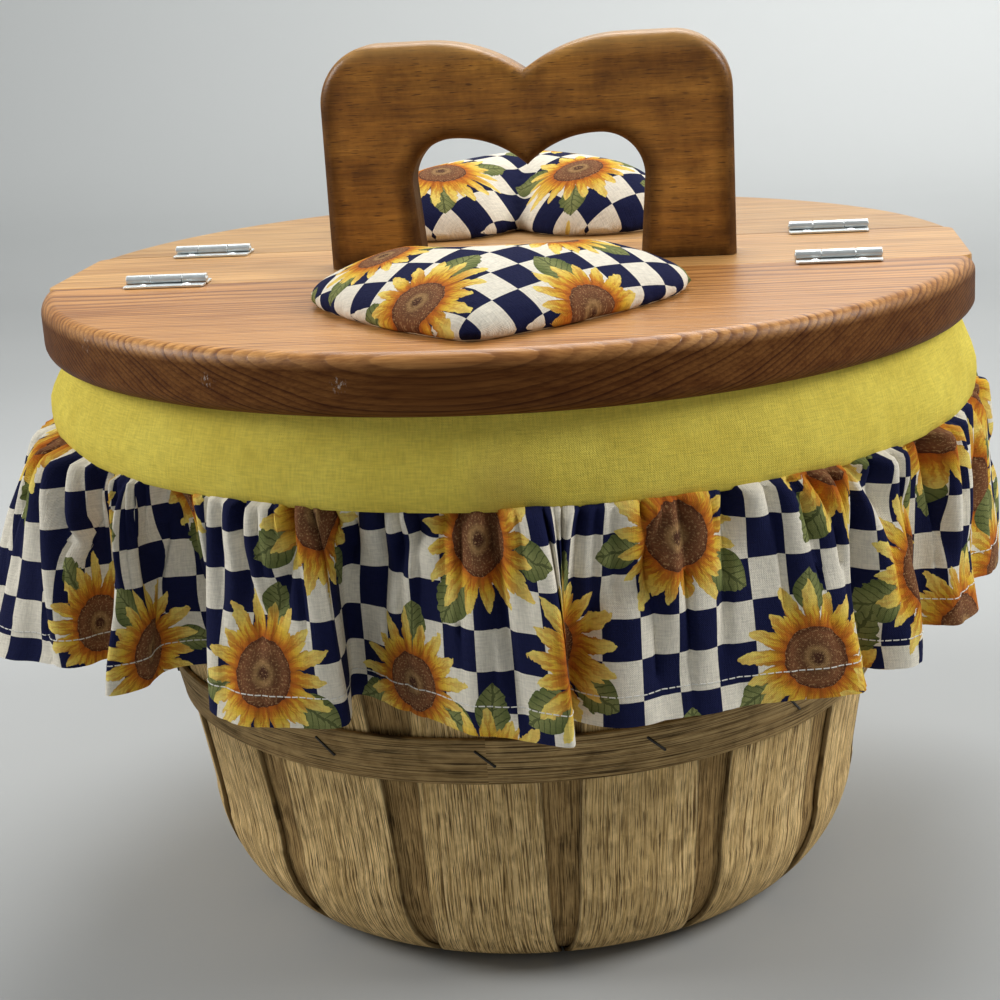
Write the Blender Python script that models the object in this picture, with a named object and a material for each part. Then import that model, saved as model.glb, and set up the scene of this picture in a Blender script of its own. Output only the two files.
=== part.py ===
"""Round sewing basket of bent wooden staves, with two hinged lid flaps and a heart-shaped handle.

Metres, +Z up. The origin lies on the floor under the middle of the basket. The front lid flap
is on the -Y side, and both lid flaps turn up about axes that run along X.
"""
import math

import bmesh
import bpy
from mathutils import Matrix, Vector
from mathutils.geometry import interpolate_bezier

MM = 0.001

# Edges that turn by less than this are shaded smooth
SMOOTH_ANGLE = math.radians(35)
CLOTH_SMOOTH_ANGLE = math.radians(60)

# Clearances
GAP = 0.3 * MM
ROUND_GAP = 0.5 * MM
CUT_OVERRUN = 2 * MM

# Basket: outer face of the outer staves, from the rim down to the foot
STAVE_COUNT = 15
STAVE_WIDTH = 54 * MM
STAVE_THICKNESS = 2 * MM
STAVE_LAYER_GAP = 0.4 * MM
STAVE_HEIGHT = 273 * MM
RIM_RADIUS = 205 * MM
WAIST_HEIGHT = 116 * MM
WAIST_RADIUS = 171 * MM
BEND_HEIGHT = 59 * MM
BEND_RADIUS = 161.5 * MM
BASE_RADIUS = 117 * MM
FOOT_LENGTH = 17 * MM
FOOT_SIDE_GAP = 1 * MM
BEND_STEPS = 4
STAVE_FACETS = 3
FRONT_STAVE_TURN = math.radians(-1.7)

# Hoops and base
HOOP_SEGMENTS = 60
WAIST_HOOP_HEIGHT = 22 * MM
WAIST_HOOP_THICKNESS = 2.2 * MM
RIM_HOOP_HEIGHT = 31 * MM
RIM_OUTER_HOOP_THICKNESS = 3 * MM
RIM_INNER_HOOP_THICKNESS = 2.5 * MM
BASE_DISC_MARGIN = 5 * MM
BASE_DISC_THICKNESS = 6.35 * MM

# Cloth
CLOTH_THICKNESS = 1 * MM
BAND_DROP = 33 * MM
BAND_FLARE = 8 * MM
BAND_SHOULDER = 5 * MM
RUFFLE_DROP = 88 * MM
RUFFLE_REACH = 32 * MM
RUFFLE_STEP = 13 * MM
RUFFLE_ROW_SHARES = (0.0, 0.3, 0.64, 1.0)
RUFFLE_DEEPENING_POWER = 0.7
SEAM_START = math.radians(-90.8)

# Folds of the ruffle's hem over the front half turn: each point's azimuth in degrees, and its
# share of the reach outside the seam. The back half has the same folds again.
HEM_FOLD_SHARES = (
    (-88, 0.57), (-82.5, 0.32), (-78.5, -0.12), (-75, 0.2), (-71, 0.79), (-65, 1.0), (-58, 0.99), (-51.5, 0.79),
    (-47, 0.41), (-44.6, 0.44), (-42, 0.76), (-39.3, 0.57), (-37.6, 0.22), (-38.6, -0.21), (-36, -0.56),
    (-31.5, -0.37), (-28.3, 0.07), (-26.6, 0.57), (-22, 0.77), (-16.5, 0.68), (-12.4, 0.41), (-11.9, -0.02),
    (-11.4, -0.34), (-8, -0.31), (-3.3, -0.02), (3.5, 0.54), (8.6, 0.9), (10.6, 0.91), (11.2, 0.73), (11.7, 0.46),
    (18.7, 0.54), (29, 0.49), (35, 0.69), (39, 0.88), (41, 0.63), (43.2, 0.37), (46, 0.74), (50.5, 0.55), (54, 0.16),
    (58, 0.4), (63, 0.54), (68.5, 0.57), (73, 0.26), (76.5, -0.12), (80, 0.1), (85.5, 0.44),
)

# Lid: two flaps hinged to a fixed centre strip
LID_OVERHANG = 13 * MM
LID_THICKNESS = 25.5 * MM
LID_ROUNDING = 6.4 * MM
LID_ARC_STEPS = 30
ROUNDING_STEPS = 3
STRIP_WIDTH = 87 * MM
STRIP_END_INSET = 0.8 * MM
SEAM_GAP = 1 * MM
CLEAT_LENGTH = 60 * MM
CLEAT_DEPTH = 18 * MM
CLEAT_HEIGHT = 20 * MM

# Hinges
HINGE_LENGTH = 38.1 * MM
HINGE_END_DISTANCE = 59 * MM
LEAF_WIDTH = 8.9 * MM
LEAF_THICKNESS = 0.9 * MM
KNUCKLE_RADIUS = 2.4 * MM
MIDDLE_KNUCKLE = 14.8 * MM
PIN_CLEARANCE = 0.25 * MM
PIN_SIDES = 12
ROLL_STEPS = 14
ROLL_END_ANGLE = math.radians(205)

# Handle, an arch with a heart-shaped top and opening
HANDLE_WIDTH = 190 * MM
HANDLE_HEIGHT = 102 * MM
HANDLE_THICKNESS = 25.4 * MM
HANDLE_OFFSET_X = 14 * MM
HANDLE_OFFSET_Y = -6.3 * MM
HANDLE_ROUNDING = 4.5 * MM
HANDLE_ROUNDING_STEPS = 2
SHOULDER_RADIUS = 27 * MM
LOBE_REACH = 45 * MM
CLEFT_DEPTH = 14.4 * MM
OPENING_WIDTH = 108 * MM
OPENING_FOOT_WIDTH = 102 * MM
OPENING_HEIGHT = 58 * MM
OPENING_CORNER_RADIUS = 20 * MM
OPENING_LOBE_REACH = 33 * MM
OPENING_CLEFT_DEPTH = 13.4 * MM
ARC_STEPS = 5

# Handle screws, driven up through the strip into the posts
SCREW_SHANK_RADIUS = 2.2 * MM
SCREW_HEAD_RADIUS = 4.2 * MM
SCREW_HEAD_HEIGHT = 2.6 * MM
SCREW_LENGTH = 50 * MM
SCREW_POINT_LENGTH = 6 * MM
SCREW_SIDES = 12

# Pincushions: hearts whose lobes face the strip
HEART_WIDTH = 164 * MM
HEART_LOBE_RADIUS = 42 * MM
HEART_LOBE_RISE = 34 * MM
HEART_TIP_RADIUS = 12 * MM
HEART_TIP_DROP = 54 * MM
HEART_SIDE_RADIUS = 250 * MM
FRONT_HEART_RIM_DISTANCE = 81 * MM
BACK_HEART_RIM_DISTANCE = 89 * MM
FRONT_HEART_OFFSET_X = 8 * MM
BACK_HEART_OFFSET_X = -2 * MM
FRONT_HEART_HEIGHT = 24 * MM
BACK_HEART_HEIGHT = 35.5 * MM
HEART_BOARD_THICKNESS = 3 * MM
HEART_BOARD_INSET = 4 * MM
HEART_DRAW_IN = 3 * MM
HEART_BULGE_HEIGHT = 5 * MM
HEART_LOBE_STEPS = 14
HEART_TIP_STEPS = 4
HEART_SIDE_STEPS = 6
HEART_RING_SHARES = (0.975, 0.92, 0.83, 0.7, 0.54, 0.36, 0.18)
HEART_CROWN_POWER = 2.1
HEART_CROWN_ROOT = 0.72

# Places that follow from the sizes above
LID_RADIUS = RIM_RADIUS + LID_OVERHANG
LINING_TOP = STAVE_HEIGHT + GAP + CLOTH_THICKNESS
LID_UNDERSIDE = LINING_TOP + GAP
LID_TOP = LID_UNDERSIDE + LID_THICKNESS
SEAM_Y = STRIP_WIDTH / 2
HINGE_AXIS_HEIGHT = LID_TOP + GAP + KNUCKLE_RADIUS
HINGE_PIN_RADIUS = KNUCKLE_RADIUS - LEAF_THICKNESS - PIN_CLEARANCE
STRIP_HALF_LENGTH = math.sqrt(LID_RADIUS ** 2 - SEAM_Y ** 2) - STRIP_END_INSET
HINGE_SPREAD = STRIP_HALF_LENGTH - HINGE_END_DISTANCE
FRONT_HEART_REACH = LID_RADIUS - FRONT_HEART_RIM_DISTANCE
BACK_HEART_REACH = LID_RADIUS - BACK_HEART_RIM_DISTANCE
HEART_LOBE_X = HEART_WIDTH / 2 - HEART_LOBE_RADIUS
STAVE_PITCH = 2 * math.pi / STAVE_COUNT
INNER_LAYER = STAVE_THICKNESS + STAVE_LAYER_GAP
STAVE_WALL = INNER_LAYER + STAVE_THICKNESS
BASE_DISC_BOTTOM = STAVE_WALL + GAP
BASE_DISC_TOP = BASE_DISC_BOTTOM + BASE_DISC_THICKNESS
BASE_DISC_RADIUS = BASE_RADIUS - BASE_DISC_MARGIN


def material(name, colour, roughness, metallic=0.0):
    """A Principled material with the sub-part's own colour."""
    result = bpy.data.materials.new(name)
    result.use_nodes = True
    shader = result.node_tree.nodes["Principled BSDF"]
    shader.inputs["Base Color"].default_value = (*colour, 1.0)
    shader.inputs["Roughness"].default_value = roughness
    shader.inputs["Metallic"].default_value = metallic
    result.diffuse_color = (*colour, 1.0)
    return result


def add_object(name, mesh, look):
    """An object of its own for one sub-part."""
    mesh.materials.clear()
    mesh.materials.append(look)
    result = bpy.data.objects.new(name, mesh)
    bpy.context.scene.collection.objects.link(result)
    return result


def finish_mesh(name, body, smooth_angle=SMOOTH_ANGLE):
    """Turns a bmesh into a mesh with its faces pointing out and its arrises kept sharp."""
    bmesh.ops.recalc_face_normals(body, faces=body.faces)
    mesh = bpy.data.meshes.new(name)
    body.to_mesh(mesh)
    body.free()
    mesh.shade_smooth()
    mesh.set_sharp_from_angle(angle=smooth_angle)
    return mesh


def arc(centre_x, centre_y, radius, start, end, steps):
    """Points along a round arc, both ends included."""
    angles = [start + (end - start) * step / steps for step in range(steps + 1)]
    return [(centre_x + radius * math.cos(a), centre_y + radius * math.sin(a)) for a in angles]


def around(radius, height, azimuth):
    """A place on the basket: the azimuth is counted from the front towards +X."""
    return Vector((radius * math.sin(azimuth), -radius * math.cos(azimuth), height))


def extruded(outline, low, high, place):
    """A bmesh prism over an outline, from low to high; place turns (u, v, level) into a point."""
    body = bmesh.new()
    bottom = [body.verts.new(place(u, v, low)) for u, v in outline]
    top = [body.verts.new(place(u, v, high)) for u, v in outline]
    body.faces.new(bottom)
    body.faces.new(list(reversed(top)))
    for index in range(len(outline)):
        after = (index + 1) % len(outline)
        body.faces.new((bottom[index], top[index], top[after], bottom[after]))
    return body


def lying(u, v, level):
    """Outline in the XY plane, levels along Z."""
    return Vector((u, v, level))


def standing(u, v, level):
    """Outline in the XZ plane, levels along Y."""
    return Vector((u, level, v))


def crossways(u, v, level):
    """Outline in the YZ plane, levels along X."""
    return Vector((level, u, v))


def round_edges(body, edges, radius, steps=ROUNDING_STEPS):
    """Rounds chosen edges of a bmesh."""
    bmesh.ops.bevel(body, geom=edges, offset=radius, segments=steps, profile=0.5, affect='EDGES')


def turned(profile, segments=HOOP_SEGMENTS):
    """A bmesh turned about Z from a closed profile of (radius, height)."""
    body = bmesh.new()
    rings = []
    for radius, height in profile:
        if radius == 0:
            rings.append([body.verts.new((0, 0, height))])
        else:
            steps = range(segments)
            rings.append([body.verts.new(around(radius, height, 2 * math.pi * s / segments)) for s in steps])
    for index, ring in enumerate(rings):
        other = rings[(index + 1) % len(rings)]
        for step in range(segments):
            after = (step + 1) % segments
            corners = [ring[step % len(ring)], ring[after % len(ring)]]
            corners += [other[after % len(other)], other[step % len(other)]]
            corners = list(dict.fromkeys(corners))
            if len(corners) > 2:
                body.faces.new(corners)
    return body


def offset_path(path, distance):
    """Shifts a path of (radius, height) to the right of its travel, with mitred corners.

    The first point stays at its height, so that the end is cut level.
    """
    points = [Vector(point) for point in path]
    directions = [(b - a).normalized() for a, b in zip(points, points[1:])]
    shifted = []
    for index, point in enumerate(points):
        before = directions[max(index - 1, 0)]
        after = directions[min(index, len(directions) - 1)]
        right_before = Vector((before.y, -before.x))
        right_after = Vector((after.y, -after.x))
        mitre = (right_before + right_after).normalized()
        shifted.append(point + mitre * (distance / mitre.dot(right_after)))
    slide = (points[0].y - shifted[0].y) / directions[0].y
    shifted[0] += directions[0] * slide
    return [tuple(point) for point in shifted]


def stave_path():
    """Outer face of an outer stave from the rim to the end of its foot."""
    shoulder_height = (STAVE_HEIGHT + WAIST_HEIGHT) / 2
    shoulder_radius = (RIM_RADIUS + WAIST_RADIUS) / 2
    path = [(RIM_RADIUS, STAVE_HEIGHT), (shoulder_radius, shoulder_height), (WAIST_RADIUS, WAIST_HEIGHT)]
    for step in range(BEND_STEPS + 1):
        turn = math.pi / 2 * step / BEND_STEPS
        radius = BASE_RADIUS + (BEND_RADIUS - BASE_RADIUS) * math.cos(turn)
        path.append((radius, BEND_HEIGHT * (1 - math.sin(turn))))
    path.append((BASE_RADIUS - FOOT_LENGTH, 0))
    return path


def radius_at(path, height):
    """Radius of a falling path at a height."""
    for (r0, z0), (r1, z1) in zip(path, path[1:]):
        if z1 <= height <= z0 and z0 > z1:
            return r1 + (r0 - r1) * (height - z1) / (z0 - z1)
    return path[0][0]


def stave_mesh(name, outer_path, inner_path):
    """One bent strip, curved round the basket and narrowed where its foot meets its neighbours."""
    body = bmesh.new()
    layers = []
    for path in (outer_path, inner_path):
        rows = []
        for (radius, height), (outer_radius, _) in zip(path, outer_path):
            beside = STAVE_PITCH / 2 - FOOT_SIDE_GAP / 2 / outer_radius
            half_angle = min(STAVE_WIDTH / 2 / outer_radius, beside)
            shares = [2 * step / STAVE_FACETS - 1 for step in range(STAVE_FACETS + 1)]
            rows.append([body.verts.new(around(radius, height, half_angle * s)) for s in shares])
        layers.append(rows)
    front, back = layers
    last_row = len(front) - 1
    for row in range(last_row):
        for step in range(STAVE_FACETS):
            for layer in layers:
                body.faces.new((layer[row][step], layer[row][step + 1],
                                layer[row + 1][step + 1], layer[row + 1][step]))
        for side in (0, STAVE_FACETS):
            body.faces.new((front[row][side], front[row + 1][side], back[row + 1][side], back[row][side]))
    for step in range(STAVE_FACETS):
        for row in (0, last_row):
            body.faces.new((front[row][step], front[row][step + 1], back[row][step + 1], back[row][step]))
    return finish_mesh(name, body)


def build_staves(wood, dark_wood):
    """The outer staves, and as many inner staves behind the gaps between them."""
    path = stave_path()
    layers = (
        ("outer_stave", path, offset_path(path, STAVE_THICKNESS), 0, wood),
        ("inner_stave", offset_path(path, INNER_LAYER), offset_path(path, STAVE_WALL), STAVE_PITCH / 2, dark_wood),
    )
    for name, outer_path, inner_path, turn, look in layers:
        mesh = stave_mesh(name, outer_path, inner_path)
        for index in range(STAVE_COUNT):
            stave = add_object("%s_%02d" % (name, index + 1), mesh, look)
            stave.rotation_euler.z = FRONT_STAVE_TURN + turn + STAVE_PITCH * index


def hoop(name, path, top, height, thickness, look):
    """A bent hoop whose near face follows a stave face; a negative thickness puts it inside."""
    side = math.copysign(ROUND_GAP, thickness)
    bottom = top - height
    near = [(radius_at(path, z) + side, z) for z in (top, bottom)]
    far = [(radius + thickness, z) for radius, z in reversed(near)]
    add_object(name, finish_mesh(name, turned(near + far)), look)


def build_hoops(wood):
    """The waist hoop, and the two rim hoops that clamp the tops of the staves."""
    path = stave_path()
    inner_face = offset_path(path, STAVE_WALL)
    waist_top = WAIST_HEIGHT + WAIST_HOOP_HEIGHT / 2
    hoop("waist_hoop", path, waist_top, WAIST_HOOP_HEIGHT, WAIST_HOOP_THICKNESS, wood)
    hoop("rim_outer_hoop", path, STAVE_HEIGHT, RIM_HOOP_HEIGHT, RIM_OUTER_HOOP_THICKNESS, wood)
    hoop("rim_inner_hoop", inner_face, STAVE_HEIGHT, RIM_HOOP_HEIGHT, -RIM_INNER_HOOP_THICKNESS, wood)


def build_base_disc(wood):
    """The plywood disc that lies on the feet of the staves."""
    profile = [(0, BASE_DISC_TOP), (BASE_DISC_RADIUS, BASE_DISC_TOP),
               (BASE_DISC_RADIUS, BASE_DISC_BOTTOM), (0, BASE_DISC_BOTTOM)]
    add_object("base_disc", finish_mesh("base_disc", turned(profile)), wood)


def lining_path():
    """Back of the lining: up the band, over the rim, down the staves and across the base."""
    stave_face = offset_path(stave_path(), STAVE_WALL + ROUND_GAP)
    outside = RIM_RADIUS + ROUND_GAP + RIM_OUTER_HOOP_THICKNESS + GAP
    behind_hoop = ROUND_GAP + RIM_INNER_HOOP_THICKNESS + GAP
    hoop_bottom = STAVE_HEIGHT - RIM_HOOP_HEIGHT
    rim_face = offset_path(stave_path(), STAVE_WALL)
    path = [(outside + BAND_FLARE, STAVE_HEIGHT - BAND_DROP),
            (outside, STAVE_HEIGHT - BAND_SHOULDER),
            (outside, STAVE_HEIGHT + GAP),
            (rim_face[0][0] - behind_hoop, STAVE_HEIGHT + GAP),
            (radius_at(rim_face, hoop_bottom) - behind_hoop, hoop_bottom)]
    path += [stave_face[2], stave_face[3], stave_face[3 + BEND_STEPS // 2]]
    path += [(BASE_DISC_RADIUS, BASE_DISC_TOP + GAP), (0, BASE_DISC_TOP + GAP)]
    return path


def build_lining(cloth):
    """The yellow lining, whose turned-over top shows as the band below the lid."""
    back = lining_path()
    face = offset_path(back, CLOTH_THICKNESS)
    add_object("yellow_lining", finish_mesh("yellow_lining", turned(back + face[::-1])), cloth)


def smooth_loop(points, step):
    """Points about a step apart on a smooth closed curve through the given ones."""
    result = []
    count = len(points)
    for index, start in enumerate(points):
        end = points[(index + 1) % count]
        leaving = (end - points[index - 1]) / 6
        arriving = (points[(index + 2) % count] - start) / 6
        parts = max(1, round((end - start).length / step))
        result += interpolate_bezier(start, start + leaving, end - arriving, end, parts + 1)[:-1]
    return result


def inside_loop(loop, distance):
    """A closed loop moved inwards in plan, with mitred corners."""
    result = []
    for before, here, after in zip(loop[-1:] + loop[:-1], loop, loop[1:] + loop[:1]):
        arriving = (here - before).normalized()
        leaving = (after - here).normalized()
        inward = Vector((-leaving.y, leaving.x, 0))
        mitre = (inward + Vector((-arriving.y, arriving.x, 0))).normalized()
        result.append(here + mitre * (distance / mitre.dot(inward)))
    return result


def hem_loop(seam_radius):
    """Plan of the ruffle's hem, with its folds."""
    points = []
    for half_turn in (0, math.pi):
        for degrees, share in HEM_FOLD_SHARES:
            points.append(around(seam_radius + RUFFLE_REACH * share, 0, math.radians(degrees) + half_turn))
    return smooth_loop(points, RUFFLE_STEP)


def seam_loop(hem, seam_radius):
    """Plan of the seam, with a point for each point of the hem: the cloth is gathered evenly."""
    lengths = [(after - here).length for here, after in zip(hem, hem[1:] + hem[:1])]
    result = []
    azimuth = SEAM_START
    for length in lengths:
        result.append(around(seam_radius, 0, azimuth))
        azimuth += 2 * math.pi * length / sum(lengths)
    return result


def build_ruffle(cloth):
    """The gathered skirt sewn to the hem of the band, with its main folds.

    Both faces of the cloth are split along the same diagonals, so that its wall stays even.
    """
    seam_radius = offset_path(lining_path(), CLOTH_THICKNESS)[0][0]
    hem = hem_loop(seam_radius)
    seam = seam_loop(hem, seam_radius)
    body = bmesh.new()
    outside = []
    inside = []
    for share in RUFFLE_ROW_SHARES:
        deepening = share ** RUFFLE_DEEPENING_POWER
        loop = [start.lerp(end, deepening) for start, end in zip(seam, hem)]
        level = Vector((0, 0, STAVE_HEIGHT - BAND_DROP - GAP - RUFFLE_DROP * share))
        outside.append([body.verts.new(point + level) for point in loop])
        inside.append([body.verts.new(point + level) for point in inside_loop(loop, CLOTH_THICKNESS)])
    pairs = list(zip(outside, outside[1:])) + list(zip(inside, inside[1:]))
    pairs += [(outside[0], inside[0]), (outside[-1], inside[-1])]
    for upper, lower in pairs:
        for step in range(len(hem)):
            after = (step + 1) % len(hem)
            body.faces.new((upper[step], upper[after], lower[after]))
            body.faces.new((upper[step], lower[after], lower[step]))
    add_object("ruffle", finish_mesh("ruffle", body, CLOTH_SMOOTH_ANGLE), cloth)


def build_lid_flap(name, side, wood):
    """One lid flap: a part of a disc with its round edge eased; side is -1 for the front."""
    straight = SEAM_Y + SEAM_GAP / 2
    corner = math.asin(straight / LID_RADIUS)
    outline = arc(0, 0, LID_RADIUS, corner, math.pi - corner, LID_ARC_STEPS)
    outline = [(x, side * y) for x, y in outline]
    body = extruded(outline, LID_UNDERSIDE, LID_TOP, lying)
    middle = (LID_UNDERSIDE + LID_TOP) / 2
    curved = []
    for edge in body.edges:
        ends = [vertex.co for vertex in edge.verts]
        level = (ends[0].z - middle) * (ends[1].z - middle) > 0
        reach = (ends[0] + ends[1]).to_2d().length / 2
        if level and reach > straight + LID_ROUNDING:
            curved.append(edge)
    round_edges(body, curved, LID_ROUNDING)
    return add_object(name, finish_mesh(name, body), wood)


def post_centres():
    """Places along X of the middles of the handle's two posts."""
    spread = (HANDLE_WIDTH + OPENING_FOOT_WIDTH) / 4
    return (HANDLE_OFFSET_X - spread, HANDLE_OFFSET_X + spread)


def screw_profile(clearance):
    """Profile of a countersunk wood screw from its point down to its head, or of its hole."""
    bottom = LID_UNDERSIDE + GAP
    point = bottom + SCREW_LENGTH + clearance
    shank = SCREW_SHANK_RADIUS + clearance
    head = SCREW_HEAD_RADIUS + clearance
    low = bottom if clearance == 0 else LID_UNDERSIDE - CUT_OVERRUN
    return [(0, point), (shank, point - SCREW_POINT_LENGTH), (shank, bottom + SCREW_HEAD_HEIGHT),
            (head, bottom), (head, low), (0, low)]


def screw_mesh(name, clearance):
    """A turned screw, or its hole when it is given a clearance."""
    profile = list(dict.fromkeys(screw_profile(clearance)))
    return finish_mesh(name, turned(profile, SCREW_SIDES))


def cut(target, name, mesh, place):
    """Cuts a hidden cutter out of an object."""
    cutter = bpy.data.objects.new(name, mesh)
    bpy.context.scene.collection.objects.link(cutter)
    cutter.location = place
    cutter.hide_render = True
    cutter.display_type = 'WIRE'
    modifier = target.modifiers.new(name, 'BOOLEAN')
    modifier.operation = 'DIFFERENCE'
    modifier.object = cutter


def build_strip(wood):
    """The fixed strip between the flaps, sawn straight across; it carries the handle and the hinges."""
    half_width = SEAM_Y - SEAM_GAP / 2
    outline = [(-STRIP_HALF_LENGTH, -half_width), (STRIP_HALF_LENGTH, -half_width),
               (STRIP_HALF_LENGTH, half_width), (-STRIP_HALF_LENGTH, half_width)]
    body = extruded(outline, LID_UNDERSIDE, LID_TOP, lying)
    ends = [edge for edge in body.edges
            if edge.verts[0].co.x == edge.verts[1].co.x and edge.verts[0].co.z == edge.verts[1].co.z]
    round_edges(body, ends, LID_ROUNDING)
    return add_object("centre_strip", finish_mesh("centre_strip", body), wood)


def build_cleats(wood):
    """Blocks under the ends of the strip that lock it inside the rim."""
    low = LID_UNDERSIDE - GAP - CLEAT_HEIGHT
    lining_face = offset_path(lining_path(), CLOTH_THICKNESS)[3:]
    facet = math.cos(math.pi / HOOP_SEGMENTS)
    reach = math.sqrt((radius_at(lining_face, low) * facet) ** 2 - (CLEAT_LENGTH / 2) ** 2) - GAP
    for name, side in (("strip_cleat_left", -1), ("strip_cleat_right", 1)):
        outline = [(side * (reach - CLEAT_DEPTH), -CLEAT_LENGTH / 2), (side * reach, -CLEAT_LENGTH / 2),
                   (side * reach, CLEAT_LENGTH / 2), (side * (reach - CLEAT_DEPTH), CLEAT_LENGTH / 2)]
        body = extruded(outline, low, LID_UNDERSIDE - GAP, lying)
        add_object(name, finish_mesh(name, body), wood)


def lobe(reach, drop, top, steps):
    """Left half of a heart's top: from the flat at -reach down to the cleft on the middle line."""
    angle = 2 * math.atan(drop / reach)
    radius = reach / math.sin(angle)
    return arc(-reach, top - radius, radius, math.pi / 2, math.pi / 2 - angle, steps)


def handle_outline():
    """Outline of the arch, seen from the front, with its foot at height 0."""
    half = HANDLE_WIDTH / 2
    shoulder = arc(SHOULDER_RADIUS - half, HANDLE_HEIGHT - SHOULDER_RADIUS, SHOULDER_RADIUS,
                   math.pi, math.pi / 2, ARC_STEPS)
    outer = [(-half, 0)] + shoulder + lobe(LOBE_REACH, CLEFT_DEPTH, HANDLE_HEIGHT, ARC_STEPS)
    corner = arc(OPENING_CORNER_RADIUS - OPENING_WIDTH / 2, OPENING_HEIGHT - OPENING_CORNER_RADIUS,
                 OPENING_CORNER_RADIUS, math.pi, math.pi / 2, ARC_STEPS)
    inner = [(-OPENING_FOOT_WIDTH / 2, 0)] + corner
    inner += lobe(OPENING_LOBE_REACH, OPENING_CLEFT_DEPTH, OPENING_HEIGHT, ARC_STEPS)
    outer_right = [(-x, z) for x, z in outer[-2::-1]]
    inner_right = [(-x, z) for x, z in inner[:-1]]
    return outer + outer_right + inner_right + inner[::-1]


def build_handle(wood):
    """The carrying handle, cut from one board and rounded over all round."""
    half = HANDLE_THICKNESS / 2
    body = extruded(handle_outline(), -half, half, standing)
    rounded = []
    for edge in body.edges:
        ends = [vertex.co for vertex in edge.verts]
        at_foot = ends[0].z == 0 and ends[1].z == 0
        if ends[0].y * ends[1].y > 0 or at_foot:
            rounded.append(edge)
    round_edges(body, rounded, HANDLE_ROUNDING, HANDLE_ROUNDING_STEPS)
    handle = add_object("handle", finish_mesh("handle", body), wood)
    handle.location = (HANDLE_OFFSET_X, HANDLE_OFFSET_Y, LID_TOP + GAP)
    return handle


def build_handle_screws(strip, handle, steel):
    """Two wood screws that hold the handle, with their holes in the strip and the posts."""
    screw = screw_mesh("handle_screw", 0)
    hole = screw_mesh("handle_screw_hole", GAP)
    for name, x in zip(("left", "right"), post_centres()):
        place = (x, HANDLE_OFFSET_Y, 0)
        add_object("handle_screw_" + name, screw, steel).location = place
        cut(strip, "strip_hole_" + name, hole, place)
        cut(handle, "handle_hole_" + name, hole, place)


def leaf_section():
    """Section of a leaf with its rolled knuckle, about the hinge axis; the leaf lies towards -Y."""
    inner = KNUCKLE_RADIUS - LEAF_THICKNESS
    outside = arc(0, 0, KNUCKLE_RADIUS, -math.pi / 2, ROLL_END_ANGLE, ROLL_STEPS)
    inside = arc(0, 0, inner, ROLL_END_ANGLE, -math.pi / 2, ROLL_STEPS)
    return outside + inside


def leaf_mesh(name, knuckles):
    """A hinge leaf along X, with rolled knuckles over the given spans."""
    near = -(KNUCKLE_RADIUS + GAP)
    plate = [(-LEAF_WIDTH, -KNUCKLE_RADIUS), (near, -KNUCKLE_RADIUS),
             (near, LEAF_THICKNESS - KNUCKLE_RADIUS), (-LEAF_WIDTH, LEAF_THICKNESS - KNUCKLE_RADIUS)]
    half = HINGE_LENGTH / 2
    stations = sorted({-half, half} | {x for span in knuckles for x in span})
    body = bmesh.new()
    sections = [[body.verts.new((x, y, z)) for y, z in plate] for x in stations]
    body.faces.new(sections[0])
    body.faces.new(sections[-1])
    for index, (start, end) in enumerate(zip(stations, stations[1:])):
        here, there = sections[index], sections[index + 1]
        rolled = (start, end) in knuckles
        for corner in range(len(plate)):
            after = (corner + 1) % len(plate)
            if not (rolled and corner == 1):
                body.faces.new((here[corner], here[after], there[after], there[corner]))
        if rolled:
            loops = []
            for x, section in ((start, here), (end, there)):
                roll = [body.verts.new((x, y, z)) for y, z in leaf_section()]
                loops.append([section[1]] + roll + [section[2]])
                body.faces.new(loops[-1])
            for step in range(len(loops[0]) - 1):
                body.faces.new((loops[0][step], loops[0][step + 1], loops[1][step + 1], loops[1][step]))
    return finish_mesh(name, body)


def pin_mesh():
    """The hinge pin along X."""
    circle = arc(0, 0, HINGE_PIN_RADIUS, 0, 2 * math.pi, PIN_SIDES)[:-1]
    body = extruded(circle, -HINGE_LENGTH / 2, HINGE_LENGTH / 2, crossways)
    return finish_mesh("hinge_pin", body)


def build_hinges(carriers, steel):
    """Four small butt hinges; the flap leaf has the middle knuckle and the strip leaf the outer two."""
    half = HINGE_LENGTH / 2
    middle = MIDDLE_KNUCKLE / 2
    flap_leaf = leaf_mesh("flap_leaf", [(-middle, middle)])
    strip_leaf = leaf_mesh("strip_leaf", [(-half, -middle - GAP), (middle + GAP, half)])
    pin = pin_mesh()
    for flap, side in (("front", -1), ("back", 1)):
        for hand, x in (("left", -HINGE_SPREAD), ("right", HINGE_SPREAD)):
            place = Vector((x, side * SEAM_Y, HINGE_AXIS_HEIGHT))
            prefix = "%s_%s_hinge_" % (flap, hand)
            flap_piece = add_object(prefix + "flap_leaf", flap_leaf, steel)
            strip_piece = add_object(prefix + "strip_leaf", strip_leaf, steel)
            pin_piece = add_object(prefix + "pin", pin, steel)
            turned_piece = strip_piece if side < 0 else flap_piece
            turned_piece.rotation_euler.z = math.pi
            for piece in (flap_piece, strip_piece, pin_piece):
                piece.location = place
            hang_on(flap_piece, carriers[flap])


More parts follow.
